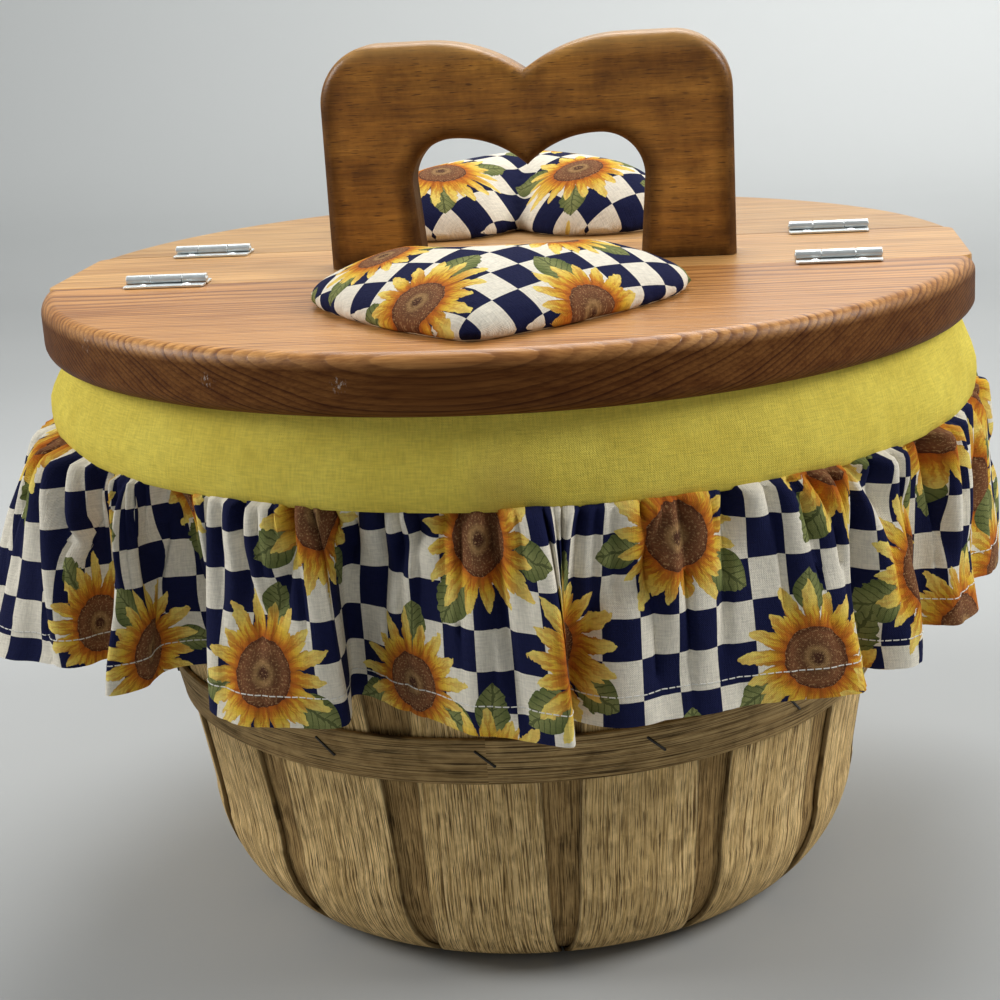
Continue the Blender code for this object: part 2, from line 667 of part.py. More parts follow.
def heart_outline(inset=0.0):
    """A heart about its middle, lobes towards +Y, from the cleft round by the right to the left.

    Each side is a long arc that runs smoothly into the lobe and into the tip.
    """
    cleft_angle = math.acos(-HEART_LOBE_X / HEART_LOBE_RADIUS)
    cleft = (0, HEART_LOBE_RISE + HEART_LOBE_RADIUS * math.sin(cleft_angle) - inset)
    to_tip_x = -HEART_LOBE_X
    to_tip_y = -HEART_TIP_DROP - HEART_LOBE_RISE
    apart = math.hypot(to_tip_x, to_tip_y)
    from_lobe = HEART_SIDE_RADIUS - HEART_LOBE_RADIUS
    from_tip = HEART_SIDE_RADIUS - HEART_TIP_RADIUS
    along = (from_lobe ** 2 - from_tip ** 2 + apart ** 2) / (2 * apart)
    beside = math.sqrt(from_lobe ** 2 - along ** 2)
    side_x = HEART_LOBE_X + (to_tip_x * along + to_tip_y * beside) / apart
    side_y = HEART_LOBE_RISE + (to_tip_y * along - to_tip_x * beside) / apart
    upper = math.atan2(HEART_LOBE_RISE - side_y, HEART_LOBE_X - side_x)
    lower = math.atan2(-HEART_TIP_DROP - side_y, -side_x)
    tip_radius = max(HEART_TIP_RADIUS - inset, GAP)
    right = arc(HEART_LOBE_X, HEART_LOBE_RISE, HEART_LOBE_RADIUS - inset, cleft_angle, upper, HEART_LOBE_STEPS)[1:]
    right += arc(side_x, side_y, HEART_SIDE_RADIUS - inset, upper, lower, HEART_SIDE_STEPS)[1:]
    tip = arc(0, -HEART_TIP_DROP, tip_radius, lower, -math.pi - lower, HEART_TIP_STEPS)[1:-1]
    left = [(-x, y) for x, y in right]
    return [cleft] + right + tip + left[::-1]


def build_heart_board(name, wood):
    """The thin backing board of a pincushion."""
    low = LID_TOP + GAP
    body = extruded(heart_outline(HEART_BOARD_INSET), low, low + HEART_BOARD_THICKNESS, lying)
    return add_object(name, finish_mesh(name, body), wood)


def build_pincushion(name, height, cloth):
    """A padded heart: drawn in at its foot, widest a little higher, then a rounded crown."""
    foot = LID_TOP + 2 * GAP + HEART_BOARD_THICKNESS
    bulge = foot + HEART_BULGE_HEIGHT
    crown = LID_TOP + height - bulge
    outline = heart_outline()
    body = bmesh.new()
    rings = [[body.verts.new((x, y, foot)) for x, y in heart_outline(HEART_DRAW_IN)],
             [body.verts.new((x, y, bulge)) for x, y in outline]]
    for share in HEART_RING_SHARES:
        level = bulge + crown * (1 - share ** HEART_CROWN_POWER) ** HEART_CROWN_ROOT
        rings.append([body.verts.new((x * share, y * share, level)) for x, y in outline])
    top = body.verts.new((0, 0, bulge + crown))
    body.faces.new(rings[0])
    count = len(outline)
    for ring, other in zip(rings, rings[1:]):
        for step in range(count):
            after = (step + 1) % count
            body.faces.new((ring[step], ring[after], other[after], other[step]))
    for step in range(count):
        body.faces.new((rings[-1][step], rings[-1][(step + 1) % count], top))
    return add_object(name, finish_mesh(name, body, CLOTH_SMOOTH_ANGLE), cloth)


def hang_on(piece, carrier):
    """Parents a piece to the empty on its joint axis and leaves it where it is."""
    piece.parent = carrier
    piece.matrix_parent_inverse = Matrix.Translation(-carrier.location)


def joint_empty(name, side):
    """An empty on the hinge axis of a lid flap."""
    empty = bpy.data.objects.new(name, None)
    bpy.context.scene.collection.objects.link(empty)
    empty.location = (0, side * SEAM_Y, HINGE_AXIS_HEIGHT)
    return empty


def build_flaps(carriers, looks):
    """Both lid flaps, each with its pincushion."""
    rows = (("front", (FRONT_HEART_OFFSET_X, -FRONT_HEART_REACH, 0), FRONT_HEART_HEIGHT, looks["front_board"]),
            ("back", (BACK_HEART_OFFSET_X, BACK_HEART_REACH, 0), BACK_HEART_HEIGHT, looks["board"]))
    for flap, place, height, wood in rows:
        side = -1 if flap == "front" else 1
        board = build_lid_flap(flap + "_lid_flap", side, wood)
        backing = build_heart_board(flap + "_pincushion_board", looks["plywood"])
        cushion = build_pincushion(flap + "_pincushion", height, looks["print"])
        for piece in (backing, cushion):
            piece.location = place
            piece.rotation_euler.z = 0 if side < 0 else math.pi
        for piece in (board, backing, cushion):
            hang_on(piece, carriers[flap])


def main():
    """Builds the whole basket in an emptied scene."""
    for item in list(bpy.data.objects):
        bpy.data.objects.remove(item, do_unlink=True)
    looks = {
        "stave": material("weathered_stave", (0.42, 0.29, 0.15), 0.75),
        "dark_stave": material("shaded_stave", (0.30, 0.20, 0.10), 0.8),
        "board": material("honey_pine", (0.62, 0.37, 0.17), 0.4),
        "front_board": material("red_pine", (0.50, 0.23, 0.10), 0.4),
        "handle": material("walnut_stain", (0.30, 0.14, 0.05), 0.35),
        "plywood": material("plywood", (0.66, 0.50, 0.32), 0.7),
        "yellow": material("yellow_cotton", (0.80, 0.66, 0.10), 0.9),
        "print": material("checked_print", (0.45, 0.40, 0.35), 0.9),
        "steel": material("zinc_plated_steel", (0.72, 0.73, 0.74), 0.25, 1.0),
    }
    carriers = {"front": joint_empty("front_lid_axis", -1), "back": joint_empty("back_lid_axis", 1)}
    build_staves(looks["stave"], looks["dark_stave"])
    build_hoops(looks["stave"])
    build_base_disc(looks["plywood"])
    build_lining(looks["yellow"])
    build_ruffle(looks["print"])
    build_flaps(carriers, looks)
    strip = build_strip(looks["board"])
    build_cleats(looks["board"])
    handle = build_handle(looks["handle"])
    build_handle_screws(strip, handle, looks["steel"])
    build_hinges(carriers, looks["steel"])


main()
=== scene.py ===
"""Looks of a round sewing basket: bent staves, a yellow lining, a printed ruffle and a hinged lid.

Metres, +Z up, with the origin on the floor under the middle of the basket. Azimuths are counted
from the front (-Y) towards +X.
"""
import math
import random

import bmesh
import bpy
from mathutils import Matrix, Vector, noise
from mathutils.geometry import interpolate_bezier, intersect_point_line


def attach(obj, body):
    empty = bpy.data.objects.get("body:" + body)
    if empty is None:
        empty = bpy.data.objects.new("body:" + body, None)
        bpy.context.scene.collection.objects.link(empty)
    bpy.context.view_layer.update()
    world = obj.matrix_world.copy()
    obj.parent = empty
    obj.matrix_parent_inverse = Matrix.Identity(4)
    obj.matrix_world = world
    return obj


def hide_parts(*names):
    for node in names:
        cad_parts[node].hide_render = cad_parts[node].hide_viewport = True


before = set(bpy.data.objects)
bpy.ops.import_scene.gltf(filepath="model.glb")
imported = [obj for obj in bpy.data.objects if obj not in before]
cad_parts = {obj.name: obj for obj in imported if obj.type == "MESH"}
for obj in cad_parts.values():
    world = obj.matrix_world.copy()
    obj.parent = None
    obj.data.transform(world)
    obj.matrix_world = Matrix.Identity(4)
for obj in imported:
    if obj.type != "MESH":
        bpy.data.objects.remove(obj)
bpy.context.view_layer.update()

MM = 0.001
TAU = 2 * math.pi
BASKET, FRONT_LID, BACK_LID = "basket", "front_lid", "back_lid"

# Staves
STAVE_COUNT = 15
STAVE_WIDTH = 54 * MM
STAVE_THICKNESS = 2 * MM
STAVE_LAYER_GAP = 0.4 * MM
STAVE_HEIGHT = 273 * MM
RIM_RADIUS = 205 * MM
WAIST_HEIGHT = 116 * MM
WAIST_RADIUS = 171 * MM
BEND_HEIGHT = 59 * MM
BEND_RADIUS = 161.5 * MM
BEND_STEPS = 10
BASE_RADIUS = 117 * MM
FOOT_LENGTH = 17 * MM
FOOT_SIDE_GAP = 1 * MM
FRONT_STAVE_TURN = math.radians(-1.7)
STAVE_PITCH = TAU / STAVE_COUNT
STAVE_ROW_STEP = 5 * MM
STAVE_COLUMNS = 10
STAVE_EDGE_WANDER = 0.5 * MM
STAVE_ARRIS = 0.35 * MM
GRAIN_SHIFTS = (0.37, 0.61)
PAINTED_FLOOR_SHADE_HEIGHT = 60 * MM

# Waist hoop and its staples
HOOP_HEIGHT = 22 * MM
HOOP_THICKNESS = 2.2 * MM
HOOP_GAP = 0.5 * MM
HOOP_STEPS = 180
HOOP_ROWS = 8
HOOP_WANDER = 0.25 * MM
HOOP_LIFT = 0.5 * MM
HOOP_ARRIS = 0.5 * MM
STAPLE_TURN = math.radians(1.5)
STAPLE_HALF_TURN = math.radians(1.3)
STAPLE_HEIGHT = WAIST_HEIGHT + 2 * MM
STAPLE_HALF_RISE = 3.7 * MM
STAPLE_WIRE = 0.6 * MM
STAPLE_LEG = 1.5 * MM

# Lining and its band
CLOTH = 0.5 * MM
BAND_DROP = 34.8 * MM
BAND_HEM_HEIGHT = STAVE_HEIGHT - BAND_DROP
SEAM_LEAN = 2.4 * MM
BAND_RADIUS = 216.8 * MM
BAND_TOP_RADIUS = 210.6 * MM
BAND_FOLD = 4.5 * MM
RIM_COVER_RADIUS = 208.8 * MM
RIM_COVER_HEIGHT = STAVE_HEIGHT + 1.3 * MM
LINING_STEPS = 240
LINING_ROW_STEP = 5 * MM
LINING_FOLD = 1.2 * MM
FOLD_TURN_DROP = 50 * MM
FOLD_TURN_RUN = 30 * MM
BAG_BOTTOM_RADIUS = 115 * MM
YELLOW_THREAD = 0.9 * MM
STAIN_PLACE = (20 * MM, -216 * MM, 246 * MM)
STAIN_RADIUS = 20 * MM

# Section of the lining as (radius, height): the band from inside its lower edge up and over the
# rim, and the bag's mouth. Between the mouth and the bottom the bag follows the staves.
BAND_SECTION = (
    (BAND_RADIUS - 1.6 * MM, BAND_HEM_HEIGHT + 1.6 * MM),
    (BAND_RADIUS - 0.9 * MM, BAND_HEM_HEIGHT),
    (BAND_RADIUS, BAND_HEM_HEIGHT + 1.4 * MM),
    (BAND_RADIUS - 0.6 * MM, BAND_HEM_HEIGHT + BAND_DROP * 0.4),
    (BAND_TOP_RADIUS, STAVE_HEIGHT - 6 * MM),
    (BAND_TOP_RADIUS - 1.6 * MM, STAVE_HEIGHT - 1.6 * MM),
    (RIM_COVER_RADIUS, RIM_COVER_HEIGHT),
    (196.9 * MM, RIM_COVER_HEIGHT),
    (195.6 * MM, STAVE_HEIGHT - 4 * MM),
    (189.4 * MM, STAVE_HEIGHT - 31.5 * MM),
)
BAG_TOP_HEIGHT = STAVE_HEIGHT - 40 * MM
BAG_TURN_RADIUS = 138 * MM
BOTTOM_SECTION = ((112.0 * MM, 12.4 * MM), (60 * MM, 12.2 * MM), (0.5 * MM, 12.2 * MM))

# Ruffle
HEM_HEIGHT = 152 * MM
RUFFLE_REACH = 32 * MM
RUFFLE_STEP = 1.8 * MM
RUFFLE_ROWS = 34
RUFFLE_TUCK = 3 * MM
RUFFLE_DROP = BAND_HEM_HEIGHT - HEM_HEIGHT + RUFFLE_TUCK
RUFFLE_DEEPENING_POWER = 0.5
SEAM_EVENING = 60 * MM
RUFFLE_HEM = 12.6 * MM
RUFFLE_HEM_ROWS = 3
RUFFLE_HEM_GAP = 1.1 * MM
SEAM_RADIUS = BAND_RADIUS + 0.6 * MM
SEAM_DEPTH = 3 * MM
PLEAT_WIDTHS = (8 * MM, 20 * MM)
PLEAT_DEPTH_SHARES = (0.25, 0.8)
PLEAT_RUN_SHARES = (0.35, 1.6)
PLEAT_DRIFT = 24 * MM
PLEAT_DRIFT_LENGTH = 60 * MM
WAVE_DEPTH = 6 * MM
WAVE_LENGTH = 34 * MM
CREASE_DEPTH = 7.5 * MM
CREASE_LENGTH = 40 * MM
CREASE_SHARE = 0.1
STITCH_LENGTH = 2.5 * MM
STITCH_GAP = 0.7 * MM
STITCH_RADIUS = 0.26 * MM
STITCH_WANDER = 0.35 * MM
STITCH_WANDER_LENGTH = 7 * MM
STITCH_PROUD = 0.1 * MM

# Folds of the ruffle's hem over the front half turn: each point's azimuth in degrees, and its
# share of the reach outside the seam. The back half has the same folds again.
HEM_FOLD_SHARES = (
    (-88, 0.42), (-82.5, 0.3), (-78.5, 0.12), (-75, 0.5), (-70, 1.0), (-65, 1.28), (-60.5, 1.38),
    (-57, 1.3), (-55.3, 1.14), (-52.8, 0.96), (-50.5, 0.68), (-50, 0.4), (-50.6, 0.12),
    (-49.6, -0.2), (-46.5, -0.3), (-43.4, -0.1), (-41.9, 0.3), (-41.4, 0.62), (-40.6, 0.75),
    (-39.8, 0.64), (-39.3, 0.42), (-39.3, 0.16), (-40.4, -0.02), (-41.7, -0.27), (-41.4, -0.48),
    (-39.4, -0.7), (-36, -0.84), (-32.5, -0.72), (-30.2, -0.42), (-29.4, -0.08), (-29.1, 0.2),
    (-27.1, 0.38), (-24.2, 0.5), (-21.5, 0.53), (-19, 0.49), (-16.7, 0.44), (-14.6, 0.38),
    (-13.1, 0.3), (-12.5, 0.16), (-13.2, -0.12), (-14.8, -0.5), (-15.4, -0.74), (-13.4, -0.78),
    (-10.7, -0.64), (-8.2, -0.48), (-5.8, -0.3), (-3.6, -0.12), (-1.5, 0.09), (0.3, 0.26),
    (2.1, 0.35), (4.1, 0.44), (6, 0.6), (7.7, 0.76), (9.2, 0.89), (10.1, 0.92), (10.4, 0.76),
    (10, 0.5), (9.6, 0.24), (10, 0.1), (11.3, 0.14), (13.5, 0.28), (15.7, 0.38), (18.6, 0.43),
    (21.8, 0.45), (24, 0.43), (26.7, 0.36), (28.9, 0.37), (31.7, 0.47), (35.1, 0.61), (37.3, 0.72),
    (39.1, 0.79), (40.5, 0.66), (41.3, 0.4), (42.1, 0.18), (43.6, 0.16), (44.3, 0.36), (45.6, 0.53),
    (47.3, 0.67), (49.3, 0.66), (50.7, 0.5), (52.5, 0.14), (55.5, -0.2), (58.3, -0.12),
    (59.3, 0.14), (60.2, 0.36), (62.3, 0.48), (65, 0.49), (68, 0.26), (72, 0.02), (75.6, 0.02),
    (78.3, 0.18), (81, 0.27), (85.5, 0.36),
)

# Print on the cotton
CHECK = 16.5 * MM
FLOWER_RADIUS = 30 * MM
FLOWER_SPACING = 104 * MM
PRINT_THREAD = 0.8 * MM

# Lid
LID_RADIUS = 218 * MM
LID_UNDERSIDE = 274.6 * MM
LID_THICKNESS = 25.5 * MM
LID_TOP = LID_UNDERSIDE + LID_THICKNESS
LID_ROUNDING = 6.4 * MM
LID_ARC_STEPS = 120
LID_ROUNDING_STEPS = 7
LID_ARRIS = 0.8 * MM
STRIP_WIDTH = 87 * MM
STRIP_END_INSET = 0.8 * MM
SEAM_GAP = 1 * MM
SEAM_Y = STRIP_WIDTH / 2
STRIP_HALF_LENGTH = math.sqrt(LID_RADIUS ** 2 - SEAM_Y ** 2) - STRIP_END_INSET
RING_WANDER = 10 * MM
SCUFF_RADIUS = 4 * MM

# Hinges
HINGE_LENGTH = 38.1 * MM
HINGE_SPREAD = STRIP_HALF_LENGTH - 59 * MM
LEAF_WIDTH = 8.9 * MM
LEAF_THICKNESS = 0.9 * MM
LEAF_CORNER = 1 * MM
LEAF_ARRIS = 0.12 * MM
KNUCKLE_RADIUS = 2.4 * MM
MIDDLE_KNUCKLE = 14.8 * MM
GAP = 0.3 * MM
PIN_RADIUS = 1.25 * MM
PIN_DOME = 0.5 * MM
PIN_STEPS = 24
HINGE_AXIS_HEIGHT = LID_TOP + GAP + KNUCKLE_RADIUS
ROLL_STEPS = 26
ROLL_END_ANGLE = math.radians(205)
SCREW_SPREAD = 10.5 * MM
SCREW_HEAD_RADIUS = 2.3 * MM
SCREW_DOME = 0.5 * MM
SCREW_SLOT = 0.35 * MM
SCREW_RIM = 0.15 * MM
SCREW_STEPS = 40
SCREW_RINGS = 7

# Handle
HANDLE_WIDTH = 190 * MM
HANDLE_HEIGHT = 102 * MM
HANDLE_THICKNESS = 25.4 * MM
HANDLE_OFFSET_X = 14 * MM
HANDLE_OFFSET_Y = -6.3 * MM
HANDLE_ROUNDING = 5 * MM
HANDLE_ROUNDING_STEPS = 6
SHOULDER_RADIUS = 27 * MM
LOBE_REACH = 45 * MM
CLEFT_DEPTH = 14.4 * MM
OPENING_WIDTH = 108 * MM
OPENING_FOOT_WIDTH = 102 * MM
OPENING_HEIGHT = 58 * MM
OPENING_CORNER_RADIUS = 20 * MM
OPENING_LOBE_REACH = 33 * MM
OPENING_CLEFT_DEPTH = 13.4 * MM
ARC_STEPS = 18
STAIN_WIDTH = 12 * MM
HANDLE_CUT = 6.3 * MM

# Pincushions. Their forms are the height, how far in from the edge the crown is reached, how much
# it falls towards the edge, and the share of it that the furrow takes.
HEART_WIDTH = 164 * MM
HEART_LOBE_RADIUS = 42 * MM
HEART_LOBE_RISE = 34 * MM
HEART_LOBE_X = HEART_WIDTH / 2 - HEART_LOBE_RADIUS
HEART_TIP_RADIUS = 12 * MM
HEART_TIP_DROP = 54 * MM
HEART_SIDE_RADIUS = 250 * MM
FRONT_HEART_PLACE = (8 * MM, 81 * MM - LID_RADIUS)
BACK_HEART_PLACE = (-2 * MM, LID_RADIUS - 89 * MM)
FRONT_HEART_FORM = (27.5 * MM, 57 * MM, 0.38, 0.05)
BACK_HEART_FORM = (35.5 * MM, 44 * MM, 0.08, 0.5)
HEART_FOOT = 0.4 * MM
HEART_DRAW_IN = 1.0 * MM
HEART_BULGE = 5.5 * MM
HEART_SHRINK = 0.2 * MM
HEART_HEM = 12 * MM
HEART_PUFF = 0.5 * MM
HEART_RINGS = 22
HEART_FULLNESS = 2.2
HEART_SPREAD_SHARE = 0.55
HEART_SPREAD_REACH = 46 * MM
HEART_FURROW_WIDTH = 6 * MM
HEART_VOXEL = 3.4 * MM
HEART_PRESSURE = 4.0
HEART_FRAMES = 20
HEART_CAP = 5 * MM
HEART_LOBE_STEPS = 26
HEART_TIP_STEPS = 8
HEART_SIDE_STEPS = 14

# Studio floor: from its near edge it runs level, curves up and stands as the far wall
FLOOR_HALF_WIDTH = 6.0
FLOOR_NEAR_Y = -4.0
FLOOR_BEND_Y = 2.4
FLOOR_BEND_RADIUS = 0.9
FLOOR_BEND_STEPS = 12
WALL_HEIGHT = 4.5

# Camera: its place beside the middle of the lid's top, and its turns
CAMERA_DISTANCE = 924.8 * MM
CAMERA_RISE = 146.8 * MM
CAMERA_ORBIT = -0.1142
CAMERA_YAW = -0.0105
CAMERA_TILT = 0.2809
CAMERA_ROLL = -0.0583
SENSOR_WIDTH = 36.0
LENS = 70.2


def around(radius, height, azimuth):
    """A place on the basket."""
    return Vector((radius * math.sin(azimuth), -radius * math.cos(azimuth), height))


def arc(centre_x, centre_y, radius, start, end, steps):
    """Points along a round arc, both ends included."""
    angles = [start + (end - start) * step / steps for step in range(steps + 1)]
    return [(centre_x + radius * math.cos(a), centre_y + radius * math.sin(a)) for a in angles]


def curve_span(before, start, end, after, step):
    """Points about a step apart on a smooth curve from the start up to the end."""
    parts = max(1, round((end - start).length / step))
    handles = (start + (end - before) / 6, end - (after - start) / 6)
    return interpolate_bezier(start, *handles, end, parts + 1)[:-1]


def noise_round(turn, scale, level):
    """Smooth noise from -1 to 1 round the basket, which meets itself."""
    return noise.noise((scale * math.sin(turn), scale * math.cos(turn), level))


def smooth_loop(points, step):
    """Points about a step apart on a smooth closed curve through the given ones."""
    result = []
    turned = [points[turn:] + points[:turn] for turn in (-1, 0, 1, 2)]
    for before, start, end, after in zip(*turned):
        result += curve_span(before, start, end, after, step)
    return result


def smooth_line(points, step):
    """Points about a step apart on a smooth open curve through the given ones."""
    padded = [2 * points[0] - points[1]] + points + [2 * points[-1] - points[-2]]
    result = []
    for before, start, end, after in zip(padded, padded[1:], padded[2:], padded[3:]):
        result += curve_span(before, start, end, after, step)
    return result + [points[-1]]


def lengths_along(points):
    """Distance of each point from the first, along the line."""
    result = [0.0]
    for here, after in zip(points, points[1:]):
        result.append(result[-1] + (after - here).length)
    return result


def shifted_path(path, distance):
    """A path of (radius, height) moved to the right of its travel."""
    result = []
    for index, here in enumerate(path):
        before = path[max(index - 1, 0)]
        after = path[min(index + 1, len(path) - 1)]
        travel = (after - before).normalized()
        result.append(here + Vector((travel.y, -travel.x)) * distance)
    return result


def radius_at(path, height):
    """Radius of a falling path at a height."""
    for high, low in zip(path, path[1:]):
        if low.y <= height <= high.y and high.y > low.y:
            return low.x + (high.x - low.x) * (height - low.y) / (high.y - low.y)
    return path[0].x


def add_object(name, data):
    """An object in the scene."""
    piece = bpy.data.objects.new(name, data)
    bpy.context.scene.collection.objects.link(piece)
    return piece


def mesh_from(name, body):
    """A mesh made from a bmesh."""
    mesh = bpy.data.meshes.new(name)
    body.to_mesh(mesh)
    body.free()
    return mesh


def add_piece(name, body, look, rides=BASKET, nodes=(), smooth=40):
    """A shown piece made from a bmesh, which rides on a body and may stand for CAD nodes.

    Edges that turn by more degrees than smooth stay sharp.
    """
    mesh = mesh_from(name, body)
    mesh.shade_smooth()
    mesh.set_sharp_from_angle(angle=math.radians(smooth))
    mesh.materials.append(look)
    piece = add_object(name, mesh)
    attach(piece, rides)
    if nodes:
        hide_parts(*nodes)
    return piece


def add_wires(name, lines, radius, resolution, look):
    """Round wires or threads along lines of points, on the basket."""
    curve = bpy.data.curves.new(name, 'CURVE')
    curve.dimensions = '3D'
    curve.bevel_depth = radius
    curve.bevel_resolution = resolution
    curve.use_fill_caps = True
    curve.materials.append(look)
    for line in lines:
        spline = curve.splines.new('POLY')
        spline.points.add(len(line) - 1)
        for point, place in zip(spline.points, line):
            point.co = (*place, 1.0)
    piece = add_object(name, curve)
    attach(piece, BASKET)
    return piece


def grid(rows, places, closed=False):
    """A bmesh of quads over rows of points, seen face on with the first row on top.

    places holds where each point lies on the flat cloth or board. On a closed grid each of its
    rows is one longer than the row of points, because the last column meets the first one.
    """
    body = bmesh.new()
    flat = body.loops.layers.uv.new("Flat")
    verts = [[body.verts.new(point) for point in row] for row in rows]
    count = len(rows[0])
    for row in range(len(rows) - 1):
        for step in range(count if closed else count - 1):
            corners = ((row, step), (row + 1, step), (row + 1, step + 1), (row, step + 1))
            face = body.faces.new([verts[r][place % count] for r, place in corners])
            for loop, (r, place) in zip(face.loops, corners):
                loop[flat].uv = places[r][place]
    return body


def ring_of(body, points):
    """A ring of new vertices."""
    return [body.verts.new(point) for point in points]


def join_rings(body, ring, other):
    """Faces between two closed rings; a ring of one vertex is a tip."""
    count = max(len(ring), len(other))
    for step in range(count):
        after = (step + 1) % count
        corners = (ring[step % len(ring)], ring[after % len(ring)],
                   other[after % len(other)], other[step % len(other)])
        body.faces.new(list(dict.fromkeys(corners)))


def add_prism(body, low_points, high_points):
    """A closed prism between two outlines in a bmesh."""
    rings = [ring_of(body, low_points), ring_of(body, high_points)]
    body.faces.new(rings[0])
    body.faces.new(rings[1])
    join_rings(body, *rings)
    bmesh.ops.recalc_face_normals(body, faces=body.faces)


def extruded(outline, low, high, standing=False):
    """A bmesh prism over an outline: along Z, or along Y where it stands."""
    body = bmesh.new()
    ends = [[(u, level, v) if standing else (u, v, level) for u, v in outline] for level in (low, high)]
    add_prism(body, *ends)
    return body


def turned_body(profile, steps):
    """A bmesh turned about Z from a profile of (radius, height) that starts and ends on the axis."""
    body = bmesh.new()
    rings = []
    for radius, height in profile:
        count = steps if radius > 0 else 1
        rings.append(ring_of(body, [around(radius, height, TAU * step / count) for step in range(count)]))
    for ring, other in zip(rings, rings[1:]):
        join_rings(body, ring, other)
    bmesh.ops.recalc_face_normals(body, faces=body.faces)
    return body


def round_edges(body, edges, radius, steps):
    bmesh.ops.bevel(body, geom=edges, offset=radius, segments=steps, profile=0.5, affect='EDGES')


def set_border(piece, values):
    """Keeps how near each vertex is to its piece's border, from 0 to 1."""
    border = piece.data.attributes.new("border", 'FLOAT', 'POINT')
    border.data.foreach_set("value", values)


def ease_edges(piece, width):
    """Takes the sharpness off a piece's edges."""
    bevel = piece.modifiers.new("arris", 'BEVEL')
    bevel.width = width
    bevel.segments = 2
    bevel.limit_method = 'ANGLE'
    bevel.angle_limit = math.radians(50)


def thicken(piece, thickness, arris=0.0):
    """Gives a surface its thickness behind it, and eases its sharp edges."""
    solid = piece.modifiers.new("thickness", 'SOLIDIFY')
    solid.thickness = thickness
    solid.offset = -1
    if arris:
        ease_edges(piece, arris)


def even_shading(piece):
    """Keeps broad flat faces flat beside rounded edges."""
    piece.modifiers.new("shading", 'WEIGHTED_NORMAL').keep_sharp = True


class Term:
    """A number at each point of a surface: an output of a material's nodes."""

    def __init__(self, look, socket):
        self.look = look
        self.socket = socket

    def __add__(self, other):
        return self.look.math('ADD', self, other)

    def __sub__(self, other):
        return self.look.math('SUBTRACT', self, other)

    def __rsub__(self, other):
        return self.look.math('SUBTRACT', other, self)

    def __mul__(self, other):
        return self.look.math('MULTIPLY', self, other)

    def __truediv__(self, other):
        return self.look.math('DIVIDE', self, other)

    def __pow__(self, other):
        return self.look.math('POWER', self, other)

    def __abs__(self):
        return self.look.math('ABSOLUTE', self)

    def __lt__(self, other):
        return self.look.math('LESS_THAN', self, other)


